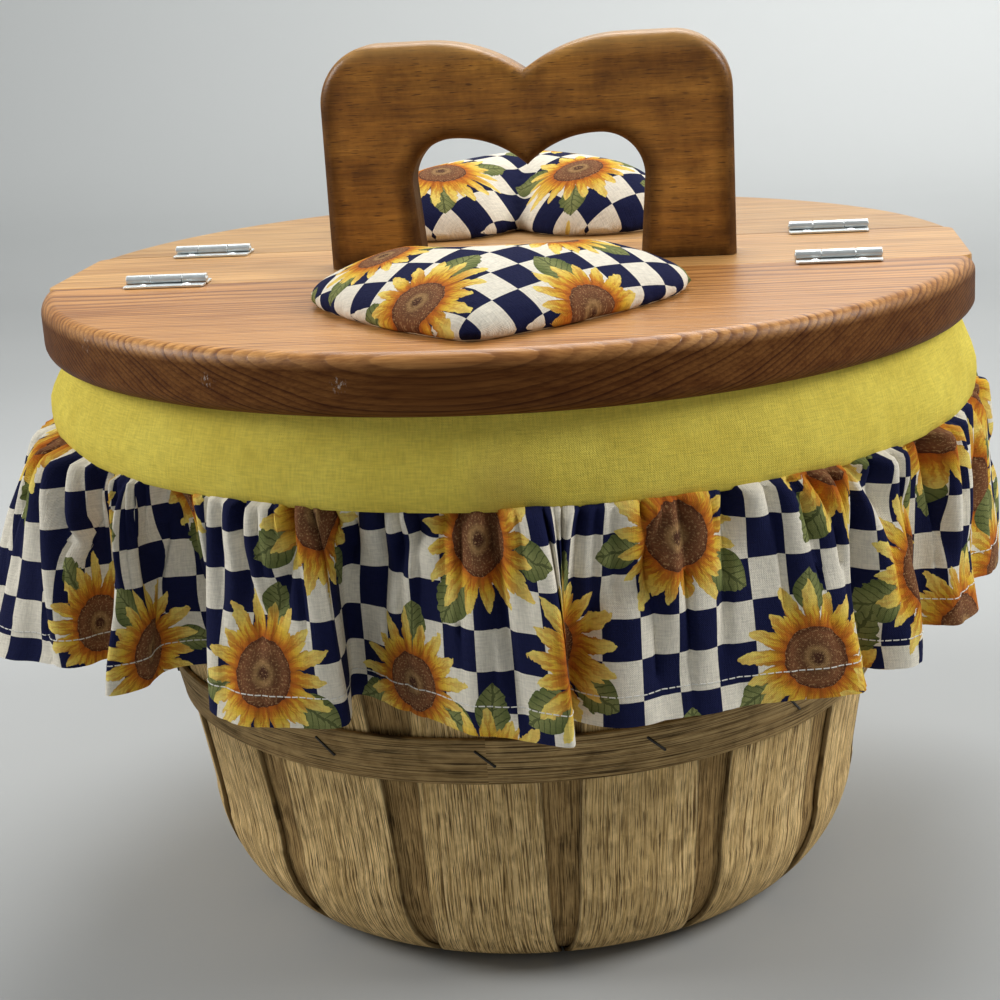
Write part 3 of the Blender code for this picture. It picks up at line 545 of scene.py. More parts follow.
class Look:
    """A Principled material whose colour, roughness and bump are written as short formulas."""

    def __init__(self, name, **values):
        self.material = bpy.data.materials.new(name)
        self.material.use_nodes = True
        self.tree = self.material.node_tree
        self.shader = self.tree.nodes["Principled BSDF"]
        for key, value in values.items():
            self.shader.inputs[key.replace("_", " ")].default_value = value

    def feed(self, socket, value):
        """Sets a socket to a value, or links it to another formula."""
        if isinstance(value, Term):
            value = value.socket
        if isinstance(value, bpy.types.NodeSocket):
            self.tree.links.new(value, socket)
        elif isinstance(value, tuple) and len(value) == 3 and socket.type == 'RGBA':
            socket.default_value = (*value, 1.0)
        else:
            socket.default_value = value

    def node(self, kind, settings=(), **values):
        """A node with its settings and inputs."""
        node = self.tree.nodes.new("ShaderNode" + kind)
        for key, value in dict(settings).items():
            setattr(node, key, value)
        for key, value in values.items():
            self.feed(node.inputs[key.replace("_", " ")], value)
        return node

    def operation(self, kind, operation, values):
        """The outputs of one step of arithmetic."""
        node = self.node(kind, {"operation": operation})
        for socket, value in zip(node.inputs, values):
            self.feed(socket, value)
        return node.outputs

    def math(self, operation, *values):
        return Term(self, self.operation("Math", operation, values)[0])

    def vector(self, operation, *values):
        return self.operation("VectorMath", operation, values)["Vector"]

    def distance(self, *places):
        """How far two places are apart."""
        return Term(self, self.operation("VectorMath", 'DISTANCE', places)["Value"])

    def scaled(self, vector, x, y, z=0.0):
        """A place stretched along each axis."""
        return self.vector('MULTIPLY', vector, (x, y, z))

    def place(self):
        """The place on the piece, in metres."""
        return self.node("TexCoord").outputs["Object"]

    def flat(self):
        """The place on the flat cloth or board, in metres."""
        return self.node("UVMap", {"uv_map": "Flat"}).outputs["UV"]

    def border(self):
        """How near the piece's border is."""
        return Term(self, self.node("Attribute", {"attribute_name": "border"}).outputs["Fac"])

    def parts(self, vector):
        return [Term(self, output) for output in self.node("SeparateXYZ", Vector=vector).outputs]

    def noise(self, vector, scale=None, detail=2.0, roughness=0.5, distortion=0.0):
        """Noise whose scale holds how often it varies in a metre along each axis."""
        if scale:
            vector = self.scaled(vector, *scale)
        node = self.node("TexNoise", Vector=vector, Scale=1.0, Detail=detail, Roughness=roughness,
                         Distortion=distortion)
        return Term(self, node.outputs[0])

    def chance(self, value):
        """A steady random number from 0 to 1 for each whole number."""
        return Term(self, self.node("TexWhiteNoise", {"noise_dimensions": '1D'}, W=value).outputs["Value"])

    def ramp(self, value, *stops):
        """A ramp of numbers or colours over a value from 0 to 1."""
        node = self.node("ValToRGB", Fac=value)
        elements = node.color_ramp.elements
        while len(elements) < len(stops):
            elements.new(0.5)
        for element, (position, colour) in zip(elements, stops):
            element.position = position
            element.color = (*colour, 1.0) if isinstance(colour, tuple) else (colour, colour, colour, 1.0)
        return Term(self, node.outputs["Color"])

    def mix(self, share, first, second, blend='MIX'):
        node = self.node("Mix", {"data_type": 'RGBA', "blend_type": blend})
        for index, value in ((0, share), (6, first), (7, second)):
            self.feed(node.inputs[index], value)
        return Term(self, node.outputs[2])

    def tint(self, share, tone, value, *stops):
        """A colour multiplied by a ramp over a value."""
        return self.mix(share, tone, self.ramp(value, *stops), 'MULTIPLY')

    def finish(self, colour, bump=None, depth=0.0, roughness=None):
        """Links the formulas to the shader; depth is the bump's height in metres."""
        self.feed(self.shader.inputs["Base Color"], colour)
        if roughness is not None:
            self.feed(self.shader.inputs["Roughness"], roughness)
        if bump is not None:
            node = self.node("Bump", Height=bump, Distance=depth)
            self.feed(self.shader.inputs["Normal"], node.outputs["Normal"])
        return self.material


def dimmed(colour, share):
    return tuple(share * part for part in colour)


def splint_look(name, light, mid, dark, shaded_from, shaded_to, run=1.0):
    """Weathered open-grained splint wood; the grain runs along the flat place's second axis.

    Painted shade darkens its borders, between two shares of the half width. A smaller run gives longer
    fibres.
    """
    look = Look(name, Roughness=0.82, Specular_IOR_Level=0.2)
    flat = look.flat()
    broad = look.noise(flat, (55, 5 * run), 3.0, 0.6, 0.5)
    bundles = look.noise(flat, (900, 15 * run), 4.0, 0.6, 0.4)
    fibres = look.noise(flat, (1800, 24 * run), 3.0, 0.6, 0.3)
    pores = look.noise(flat, (2600, 70 * run), 1.0)
    mottle = look.noise(flat, (150, 90), 3.0, 0.6, 0.6)
    tone = look.ramp(bundles * 0.45 + fibres * 0.55, (0.415, dark), (0.47, mid), (0.535, light))
    tone = look.mix(look.ramp(broad, (0.42, 0.0), (0.62, 0.5)), tone, mid)
    open_pores = look.ramp(pores, (0.33, 0.9), (0.42, 0.0))
    tone = look.mix(open_pores, tone, dimmed(dark, 0.5))
    tone = look.tint(0.7, tone, mottle, (0.32, (0.60, 0.56, 0.50)), (0.66, (1.18, 1.18, 1.16)))
    # Painted shade: darker near the floor, for the gaps between the staves' feet, which lie in shade
    painted_floor_shade = look.ramp(look.parts(look.place())[2] / PAINTED_FLOOR_SHADE_HEIGHT, (0.05, 1.0), (0.3, 0.0))
    # Painted shade: darker along each splint's long edges, where the two layers of staves overlap
    painted_border_shade = look.ramp(look.border(), (shaded_from, 0.0), (shaded_to, 0.7))
    shade = look.math('MAXIMUM', painted_border_shade, painted_floor_shade * min(0.95, 2.2 * (1 - shaded_from)))
    tone = look.mix(shade, tone, dimmed(dark, 0.3))
    return look.finish(tone, fibres * 0.9 + bundles * 0.6 - open_pores * 0.5, 0.7 * MM)


def board_look(name, pith, ring, early, late, strength, rim, scuffs=()):
    """Varnished softwood: growth rings round a pith that runs along X, and a darker stained rim."""
    look = Look(name)
    place = look.place()
    _, y, z = look.parts(place)
    wobble = look.noise(place, (3.5, 14, 14), 3.0) - 0.5
    across = y - pith[0]
    below = z - pith[1]
    count = (look.math('SQRT', across * across + below * below) + wobble * RING_WANDER) / ring
    year = look.chance(look.math('FLOOR', count))
    dark = look.ramp(look.math('FRACT', count), (0.0, 0.0), (0.45, 0.06), (0.72, 0.7), (0.86, 1.0),
                     (0.95, 0.9), (1.0, 0.0))
    dark = dark * (year * 0.65 + 0.35)
    fine = look.noise(place, (30, 1100, 1100), 4.0, 0.65)
    cloud = look.noise(place, (4, 14, 14), 3.0)
    streaks = look.noise(place, (8, 170, 170), 3.0, 0.6)
    tone = look.mix(dark * strength, early, late)
    tone = look.tint(0.8, tone, fine, (0.32, (0.60, 0.52, 0.44)), (0.64, 1.16))
    tone = look.tint(0.7, tone, cloud, (0.3, (0.74, 0.64, 0.56)), (0.7, (1.1, 1.12, 1.14)))
    tone = look.tint(0.8, tone, streaks, (0.34, (0.66, 0.55, 0.44)), (0.58, 1.06))
    stain = look.ramp((LID_TOP - z) / LID_THICKNESS, (0.05, 0.0), (0.26, 1.0))
    tone = look.mix(stain, tone, look.mix(1.0, tone, rim, 'MULTIPLY'))
    scratches = look.noise(place, (900, 900, 420), 3.0, 0.7)
    for spot in scuffs:
        near = look.ramp(look.distance(place, spot) / SCUFF_RADIUS, (0.3, 1.0), (1.0, 0.0))
        worn = near * look.ramp(scratches, (0.55, 0.0), (0.61, 1.0))
        tone = look.mix(worn * 0.6, tone, (0.58, 0.52, 0.46))
    look.feed(look.shader.inputs["Specular IOR Level"], 0.34 - stain * 0.26)
    return look.finish(tone, fine * 0.35 - dark * 0.6, 0.25 * MM, fine * 0.24 + 0.24 + stain * 0.18)


def handle_look():
    """Walnut-stained board with level grain, darker where the stain gathers on the rounds."""
    look = Look("walnut_stain")
    place = look.place()
    height = (look.parts(place)[2] - LID_TOP) / HANDLE_HEIGHT
    broad = look.noise(place, (7, 30, 75), 3.0, 0.55, 0.4)
    fine = look.noise(place, (50, 400, 1100), 4.0, 0.7)
    blotch = look.noise(place, (70, 90, 38), 4.0, 0.65)
    flecks = look.noise(place, (130, 900, 1700), 1.0)
    tone = look.ramp(broad, (0.3, (0.24, 0.096, 0.012)), (0.5, (0.37, 0.160, 0.023)),
                     (0.7, (0.52, 0.244, 0.040)))
    tone = look.tint(0.8, tone, fine, (0.3, 0.58), (0.66, 1.25))
    tone = look.tint(0.75, tone, blotch, (0.34, (0.58, 0.52, 0.46)), (0.62, 1.12))
    tone = look.mix(look.ramp(flecks, (0.30, 0.75), (0.38, 0.0)), tone, (0.06, 0.022, 0.006))
    # Painted highlight: the top of the arch is painted lighter and golden, where the overhead light falls
    tone = look.mix(look.ramp(height, (0.9, 0.0), (0.97, 0.45)), tone, (0.62, 0.36, 0.12))
    gathered = look.ramp(look.border(), (0.22, 0.0), (0.52, 0.5), (0.8, 0.96))
    gathered = gathered * look.ramp(height, (0.72, 1.0), (0.88, 0.1))
    gathered = gathered * look.ramp(blotch, (0.3, 1.0), (0.7, 0.75))
    tone = look.mix(gathered, tone, (0.055, 0.022, 0.006))
    look.feed(look.shader.inputs["Specular IOR Level"], 0.42 - gathered * 0.36)
    return look.finish(tone, fine, 0.15 * MM, fine * 0.2 + 0.22 + gathered * 0.25)


def slubs(look, flat, along, across):
    """Thick and thin stretches of thread both ways."""
    return look.noise(flat, (along, across)) + look.noise(flat, (across, along))


def weave(look, flat, thread):
    """Height of a plain weave with its slubs."""
    u, v, _ = look.parts(flat)
    warp = look.math('SINE', u * (TAU / thread))
    weft = look.math('SINE', v * (TAU / thread))
    return warp * weft * 0.25 + slubs(look, flat, 260, 1500)


def cotton_look():
    """Plain yellow cotton with one stain."""
    look = Look("yellow_cotton", Roughness=0.92, Specular_IOR_Level=0.15)
    flat = look.flat()
    cloud = look.noise(flat, (22, 30), 3.0, 0.6)
    tone = look.ramp(cloud, (0.3, (0.64, 0.50, 0.07)), (0.7, (0.80, 0.66, 0.11)))
    tone = look.tint(0.5, tone, slubs(look, flat, 150, 1300) / 2, (0.36, 0.72), (0.62, 1.2))
    near = look.ramp(look.distance(look.place(), STAIN_PLACE) / STAIN_RADIUS, (0.2, 0.45), (1.0, 0.0))
    tone = look.mix(near * look.ramp(cloud, (0.3, 0.5), (0.6, 1.0)), tone, (0.42, 0.27, 0.08))
    return look.finish(tone, weave(look, flat, YELLOW_THREAD), 0.3 * MM)


def petals(look, turn, reach, count, tip, root, seed):
    """Where one ring of petals lies, and how near each point is to its petal's middle line."""
    sector = turn * (count / TAU) + seed
    own = look.chance(look.math('FLOORED_MODULO', look.math('FLOOR', sector), count) + seed * 17)
    side = abs(look.math('FRACT', sector) - 0.5) * 2
    edge = (own * 0.26 + (tip - 0.13) - root) * (1 - side ** 1.4) ** 0.75 + root
    return reach < edge, side


def leaves(look, away, own, size, ripple, below):
    """Three leaves behind each sunflower."""
    tone = below
    for turn, length, width in ((0.3, 0.42, 0.30), (2.2, 0.36, 0.26), (4.3, 0.40, 0.24)):
        angle = own[0] * -TAU - turn
        spun = look.node("VectorRotate", {"rotation_type": 'Z_AXIS'}, Vector=away, Angle=angle)
        along, across, _ = look.parts(spun.outputs[0])
        along = along * (FLOWER_SPACING / FLOWER_RADIUS) / size - 0.98
        across = abs(across * (FLOWER_SPACING / FLOWER_RADIUS) / size + ripple * 0.1)
        share = along / length
        where = across < (1 - share * share) * width + ripple * 0.08
        rib = look.math('FRACT', (along - across * 0.8) * 9)
        vein = look.math('MAXIMUM', across < 0.018, rib < 0.16)
        green = look.ramp(across / width, (0.0, (0.25, 0.265, 0.095)), (0.9, (0.125, 0.15, 0.045)))
        green = look.mix(vein * 0.7, green, (0.04, 0.055, 0.018))
        tone = look.mix(where, tone, green)
    return tone


def sunflowers(look, flat, below, shift, seed):
    """One scattering of sunflowers and their leaves, drawn over what is below."""
    cells = look.vector('ADD', look.scaled(flat, 1 / FLOWER_SPACING, 1 / FLOWER_SPACING), shift)
    voronoi = look.node("TexVoronoi", {"voronoi_dimensions": '2D'}, Vector=cells, Scale=1.0,
                        Randomness=0.34).outputs
    away = look.vector('SUBTRACT', cells, voronoi["Position"])
    own = look.parts(voronoi["Color"])
    size = own[1] * 0.25 + 0.88
    ripple = look.noise(flat, (300, 300)) - 0.5
    reach = look.distance(cells, voronoi["Position"]) * (FLOWER_SPACING / FLOWER_RADIUS) / size
    reach = reach + ripple * 0.07
    x, y, _ = look.parts(away)
    turn = look.math('ARCTAN2', y, x) + own[0] * TAU + ripple * 0.12
    tone = leaves(look, away, own, size, ripple, below)
    spread = look.node("CombineXYZ", X=turn * 13, Y=reach * 2.2, Z=own[2] * 20).outputs[0]
    streak = look.noise(spread, detail=3.0, roughness=0.65)
    golden = look.ramp(reach, (0.46, (0.40, 0.080, 0.012)), (0.56, (0.62, 0.25, 0.018)),
                       (0.68, (0.74, 0.47, 0.045)), (0.95, (0.84, 0.66, 0.16)))
    blush = look.ramp(streak, (0.47, 0.0), (0.56, 0.9)) * look.ramp(reach, (0.5, 1.0), (1.0, 0.3))
    golden = look.mix(blush, golden, (0.50, 0.125, 0.014))
    for count, tip, root, part in ((17, 1.08, 0.55, seed), (21, 0.86, 0.5, seed + 0.5)):
        where, side = petals(look, turn, reach, count, tip, root, part)
        shaded = look.mix(look.ramp(side, (0.5, 0.0), (0.95, 0.8)), golden, (0.30, 0.075, 0.010))
        tone = look.mix(where, tone, shaded)
    speckle = look.noise(flat, (1100, 1100), 2.0, 0.6)
    disc = look.ramp(reach, (0.07, (0.07, 0.026, 0.013)), (0.14, (0.33, 0.19, 0.075)),
                     (0.22, (0.15, 0.062, 0.027)), (0.38, (0.20, 0.078, 0.032)),
                     (0.46, (0.10, 0.032, 0.013)))
    disc = look.mix(look.ramp(speckle, (0.54, 0.0), (0.64, 0.7)), disc, (0.46, 0.27, 0.12))
    return look.mix(reach < 0.47, tone, disc)


def print_look():
    """Cotton with navy and cream checks and sunflowers, for the ruffle and the pincushions."""
    look = Look("printed_cotton", Roughness=0.9, Specular_IOR_Level=0.15)
    flat = look.flat()
    squares = look.vector('ADD', look.scaled(flat, 1 / CHECK, 1 / CHECK), (0.37, 0.21, 0.5))
    checks = look.node("TexChecker", Vector=squares, Scale=1.0, Color1=(0.80, 0.745, 0.62),
                       Color2=(0.0065, 0.009, 0.046))
    tone = Term(look, checks.outputs["Color"])
    tone = sunflowers(look, flat, tone, (0.31, 0.12, 0.0), 0.0)
    tone = sunflowers(look, flat, tone, (0.83, 0.60, 0.0), 3.0)
    tone = look.tint(0.5, tone, slubs(look, flat, 190, 1400) / 2, (0.36, 0.72), (0.62, 1.18))
    return look.finish(tone, weave(look, flat, PRINT_THREAD), 0.3 * MM)


def steel_look(name, colour, roughness, metallic):
    """Bright zinc-plated or dark drawn steel, with fine scratches."""
    look = Look(name, Metallic=metallic)
    place = look.place()
    scratches = look.noise(place, (220, 2600, 2600))
    cloud = look.noise(place, (240, 240, 240))
    tone = look.mix(look.ramp(cloud, (0.35, 0.0), (0.7, 0.5)), colour, dimmed(colour, 0.8))
    return look.finish(tone, scratches, 0.012 * MM, scratches * 0.2 + (roughness - 0.1))


def thread_look():
    """White sewing thread."""
    look = Look("white_thread", Roughness=0.8, Specular_IOR_Level=0.2)
    ply = look.noise(look.place(), (2500, 2500, 2500), 1.0)
    tone = look.ramp(ply, (0.3, (0.62, 0.60, 0.54)), (0.7, (0.90, 0.88, 0.82)))
    return look.finish(tone, ply, 0.1 * MM)


def plywood_look(name, light, dark):
    """Bare wood whose grain runs along X."""
    look = Look(name, Roughness=0.7)
    place = look.place()
    grain = look.noise(place, (9, 240, 240), 4.0, 0.6)
    tone = look.ramp(grain, (0.3, dark), (0.7, light))
    tone = look.tint(0.4, tone, look.noise(place, (8, 22, 22)), (0.3, 0.7), (0.7, 1.2))
    return look.finish(tone, grain, 0.3 * MM)


def floor_look():
    """Pale grey studio floor, painted paler towards the far wall as painted light."""
    look = Look("pale_floor", Roughness=0.8, Specular_IOR_Level=0.3)
    place = look.place()
    cloud = look.noise(place, (1.3, 1.3, 1.3))
    tone = look.ramp(cloud, (0.3, (0.40, 0.41, 0.405)), (0.7, (0.45, 0.46, 0.455)))
    # Painted light: paler towards the far wall, as if more light fell on the wall
    far = look.ramp(look.parts(place)[1] / 4, (0.4, 0.0), (0.8, 1.0))
    return look.finish(look.mix(far, tone, (0.80, 0.82, 0.81)))


def stave_path():
    """Outer face of an outer stave from the rim to the end of its foot, as (radius, height)."""
    rim, waist = Vector((RIM_RADIUS, STAVE_HEIGHT)), Vector((WAIST_RADIUS, WAIST_HEIGHT))
    path = [rim, (rim + waist) / 2, waist]
    for step in range(BEND_STEPS + 1):
        turn = math.pi / 2 * step / BEND_STEPS
        radius = BASE_RADIUS + (BEND_RADIUS - BASE_RADIUS) * math.cos(turn)
        path.append(Vector((radius, BEND_HEIGHT * (1 - math.sin(turn)))))
    path.append(Vector((BASE_RADIUS - FOOT_LENGTH, 0)))
    return smooth_line(path, STAVE_ROW_STEP)


def stave_grid(path, face, middle, seed, index):
    """A splint along its layer's face, and how near each of its vertices is to a long edge."""
    rows = []
    places = []
    shares = [2 * step / STAVE_COLUMNS - 1 for step in range(STAVE_COLUMNS + 1)]
    for outer, point, down in zip(path, face, lengths_along(face)):
        beside = STAVE_PITCH / 2 - FOOT_SIDE_GAP / 2 / outer.x
        half = min(STAVE_WIDTH / 2 / outer.x, beside)
        row = []
        for share in shares:
            wander = STAVE_EDGE_WANDER * (noise.noise((down * 22, share, index * 3.1 + seed)) - 0.5)
            row.append(around(point.x, point.y, middle + half * share + share * share * wander / outer.x))
        rows.append(row)
        places.append([(share * STAVE_WIDTH / 2 + index * GRAIN_SHIFTS[0] + seed,
                        down + index * GRAIN_SHIFTS[1]) for share in shares])
    return grid(rows, places), [abs(share) for share in shares] * len(rows)


def build_staves(looks):
    """Both layers of staves, each with its own stretch of grain and slightly wandering edges."""
    path = stave_path()
    inner_path = shifted_path(path, STAVE_THICKNESS + STAVE_LAYER_GAP)
    layers = (("outer_stave", path, 0.0, "stave", "stave_wood"),
              ("inner_stave", inner_path, STAVE_PITCH / 2, "inner_stave", "inner_stave_wood"))
    for layer, face, turn, look, slot in layers:
        for index in range(STAVE_COUNT):
            name = "%s_%02d" % (layer, index + 1)
            middle = FRONT_STAVE_TURN + turn + STAVE_PITCH * index
            body, border = stave_grid(path, face, middle, turn, index)
            piece = add_piece(name + "_splint", body, looks[look], nodes=[name])
            set_border(piece, border)
            thicken(piece, STAVE_THICKNESS, STAVE_ARRIS)


def build_waist_hoop(looks):
    """The bent hoop round the staves, with a staple through it into each outer stave."""
    path = stave_path()
    turns = [TAU * step / HOOP_STEPS for step in range(HOOP_STEPS + 1)]
    rows = []
    places = []
    for step in range(HOOP_ROWS + 1):
        height = WAIST_HEIGHT + HOOP_HEIGHT / 2 - HOOP_HEIGHT * step / HOOP_ROWS
        row = []
        for turn in turns[:-1]:
            radius = radius_at(path, height) + HOOP_GAP + HOOP_THICKNESS
            radius += HOOP_WANDER * noise_round(turn, 3, height * 30)
            lift = HOOP_LIFT * noise_round(turn, 2, 7)
            row.append(around(radius, height + lift, turn))
        rows.append(row)
        places.append([(height, WAIST_RADIUS * turn) for turn in turns])
    hoop = add_piece("waist_hoop_splint", grid(rows, places, closed=True), looks["hoop"],
                     nodes=["waist_hoop"])
    thicken(hoop, HOOP_THICKNESS, HOOP_ARRIS)
    face = radius_at(path, WAIST_HEIGHT) + HOOP_GAP + HOOP_THICKNESS
    slope = (WAIST_RADIUS - BEND_RADIUS) / (WAIST_HEIGHT - BEND_HEIGHT)
    staples = []
    for index in range(STAVE_COUNT):
        middle = FRONT_STAVE_TURN + STAPLE_TURN + STAVE_PITCH * index
        staple = []
        for side, depths in ((-1, (STAPLE_LEG, -0.8 * STAPLE_WIRE)), (1, (-0.8 * STAPLE_WIRE, STAPLE_LEG))):
            height = STAPLE_HEIGHT - side * STAPLE_HALF_RISE
            for depth in depths:
                radius = face + (height - WAIST_HEIGHT) * slope - depth
                staple.append(around(radius, height, middle + side * STAPLE_HALF_TURN))
        staples.append(staple)
    add_wires("hoop_staples", staples, STAPLE_WIRE, 2, looks["wire"])


def build_lining(looks):
    """The lining: its turned-over top is the yellow band, and its bag lines the basket."""
    stave_face = shifted_path(stave_path(), 2 * STAVE_THICKNESS + STAVE_LAYER_GAP + HOOP_GAP)
    sides = [point for point in stave_face if point.y < BAG_TOP_HEIGHT and point.x > BAG_TURN_RADIUS]
    corners = [*BAND_SECTION, *sides[::6], *BOTTOM_SECTION]
    path = smooth_line([Vector(point) for point in corners], LINING_ROW_STEP)
    downward = lengths_along(path)
    turns = [TAU * step / LINING_STEPS for step in range(LINING_STEPS + 1)]
    rows = []
    places = []
    for point, down in zip(path, downward):
        bag = min(1.0, max(0.0, (down - FOLD_TURN_DROP) / FOLD_TURN_RUN))
        row = []
        for turn in turns[:-1]:
            fold = LINING_FOLD * (noise_round(turn, 5, down * 6) + 0.5 * noise_round(turn, 26, down * 9))
            if down < BAND_DROP:
                fold *= BAND_FOLD / LINING_FOLD * math.sin(math.pi * down / BAND_DROP)
            if point.x < BAG_BOTTOM_RADIUS:
                row.append(around(point.x, point.y + 0.2 * abs(fold), turn))
            else:
                lean = SEAM_LEAN * math.sin(turn) * max(0.0, 1 - down / BAND_DROP)
                radius = point.x + fold * (0.5 - bag) - bag * LINING_FOLD
                row.append(around(radius, point.y - lean, turn))
        rows.append(row)
        places.append([(BAND_RADIUS * turn, down) for turn in turns])
    lining = add_piece("lining_bag_and_band", grid(rows, places, closed=True), looks["yellow"],
                       nodes=["yellow_lining"], smooth=80)
    thicken(lining, CLOTH)
    return lining, downward[-1]


def inside_loop(loop, distance):
    """A closed loop moved inwards in plan."""
    result = []
    for before, here, after in zip(loop[-1:] + loop[:-1], loop, loop[1:] + loop[:1]):
        travel = (after - before).normalized()
        result.append(here + Vector((-travel.y, travel.x, 0)).normalized() * distance)
    return result


def hem_loop():
    """Plan of the ruffle's hem, with its folds."""
    points = []
    for half_turn in (0, math.pi):
        for degrees, share in HEM_FOLD_SHARES:
            radius = SEAM_RADIUS + RUFFLE_REACH * share
            points.append(around(radius, 0, math.radians(degrees) + half_turn))
    return smooth_loop(points, RUFFLE_STEP)


def evened(hem):
    """Azimuth of the seam above each point of the hem: the mean over the hem's nearby points."""
    turns = []
    for point in hem:
        turn = math.atan2(point.x, -point.y)
        if turns and turn < turns[-1] - math.pi:
            turn += TAU
        turns.append(turn)
    count = len(turns)
    reach = round(SEAM_EVENING / RUFFLE_STEP)
    spread = [turns[index % count] + TAU * (index // count) for index in range(-reach, count + reach)]
    return [sum(spread[index:index + 2 * reach + 1]) / (2 * reach + 1) for index in range(count)]


def pleat_table(girth):
    """Uneven pleats round the seam: where each starts, its width, its depth and how far down it runs."""
    shuffle = random.Random(11)
    result = []
    start = 0.0
    while start < girth:
        width = shuffle.uniform(*PLEAT_WIDTHS)
        if girth - start - width < PLEAT_WIDTHS[0]:
            width = girth - start
        depth = width * shuffle.uniform(*PLEAT_DEPTH_SHARES)
        result.append((start, width, depth, shuffle.uniform(*PLEAT_RUN_SHARES)))
        start += width
    return result


def pleat_rise(pleats, distance, share):
    """How far a pleat lifts the cloth: rounded on top, with a narrow valley on both sides."""
    for start, width, depth, run in pleats:
        if distance <= start + width:
            shape = abs(math.sin(math.pi * (distance - start) / width)) ** 0.7 - 0.55
            return depth * shape * max(0.0, 1 - share / run) ** 1.3 * min(1.0, 0.5 + 8 * share)
    return 0.0


def cloth_rise(pleats, distance, girth, share):
    """How far the ruffle stands out at a distance round it and a share of its way down.

    Pleats, broad waves and narrow creases each fade in their own way.
    """
    turn = TAU * distance / girth
    radius = girth / TAU
    drift = PLEAT_DRIFT * share * noise_round(turn, radius / PLEAT_DRIFT_LENGTH, 0)
    out = pleat_rise(pleats, (distance + drift) % girth, share)
    wave = noise_round(turn, radius / WAVE_LENGTH, 1.3 * share + 9)
    out += WAVE_DEPTH * (wave - 0.35 * abs(wave)) * min(1.0, 3.5 * share)
    crease = noise_round(turn, radius / CREASE_LENGTH, 0.9 * share + 4)
    return out - CREASE_DEPTH * math.exp(-(crease / CREASE_SHARE) ** 2) * (1 - share) ** 0.7


def loop_above_hem(rows, rise):
    """The ruffle's loop at a height above its hem."""
    level = HEM_HEIGHT + rise
    for upper, lower in zip(rows, rows[1:]):
        if lower[0].z <= level <= upper[0].z:
            part = (upper[0].z - level) / (upper[0].z - lower[0].z)
            return [high.lerp(low, part) for high, low in zip(upper, lower)]
    return rows[-1]


def build_ruffle(looks):
    """The gathered skirt: deep folds at its hem, small uneven pleats at its seam, and a sewn hem."""
    hem = hem_loop()
    along = lengths_along(hem + hem[:1])
    girth = along[-1]
    pleats = pleat_table(girth)
    seam_turns = evened(hem)
    skirt = []
    places = []
    for step in range(RUFFLE_ROWS + 1):
        share = (step / RUFFLE_ROWS) ** 1.15
        row = []
        for point, distance, seam_turn in zip(hem, along, seam_turns):
            place = around(SEAM_RADIUS, 0, seam_turn).lerp(point, share ** RUFFLE_DEEPENING_POWER)
            tucked = share * RUFFLE_DROP < RUFFLE_TUCK
            out = -SEAM_DEPTH if tucked else cloth_rise(pleats, distance, girth, share)
            place += place.normalized() * out
            seam = BAND_HEM_HEIGHT - SEAM_LEAN * math.sin(seam_turn) + RUFFLE_TUCK
            place.z = seam + (HEM_HEIGHT - seam) * share
            row.append(place)
        skirt.append(row)
        places.append([(distance, 1 - RUFFLE_DROP * share) for distance in along])
    # The hem is turned up inside
    turned_up = []
    for step in range(1, RUFFLE_HEM_ROWS + 1):
        rise = RUFFLE_HEM * (step - 0.7) / (RUFFLE_HEM_ROWS - 0.7)
        turned_up.append(inside_loop(loop_above_hem(skirt, rise), RUFFLE_HEM_GAP))
        places.append([(distance, 1 - RUFFLE_DROP - rise) for distance in along])
    ruffle = add_piece("ruffle_skirt", grid(skirt + turned_up, places, closed=True), looks["print"],
                       nodes=["ruffle"], smooth=80)
    thicken(ruffle, CLOTH)
    stitches = build_stitches(looks, loop_above_hem(skirt, RUFFLE_HEM))
    return ruffle, stitches, girth


def build_stitches(looks, loop):
    """A line of running stitches round the hem."""
    loop = inside_loop(loop, -STITCH_PROUD)
    loop.append(loop[0])
    along = lengths_along(loop)
    stitches = []
    step = 0
    start = 0.0
    while start + STITCH_LENGTH < along[-1]:
        stitch = []
        for distance in (start, start + STITCH_LENGTH / 2, start + STITCH_LENGTH):
            while along[step + 1] < distance:
                step += 1
            span = (distance - along[step]) / (along[step + 1] - along[step])
            place = loop[step].lerp(loop[step + 1], span)
            place.z += STITCH_WANDER * noise.noise(place / STITCH_WANDER_LENGTH)
            stitch.append(place)
        stitches.append(stitch)
        start += STITCH_LENGTH + STITCH_GAP
    return add_wires("hem_stitches", stitches, STITCH_RADIUS, 1, looks["thread"])


def is_level(edge):
    low, high = (vertex.co.z for vertex in edge.verts)
    return abs(low - high) < MM


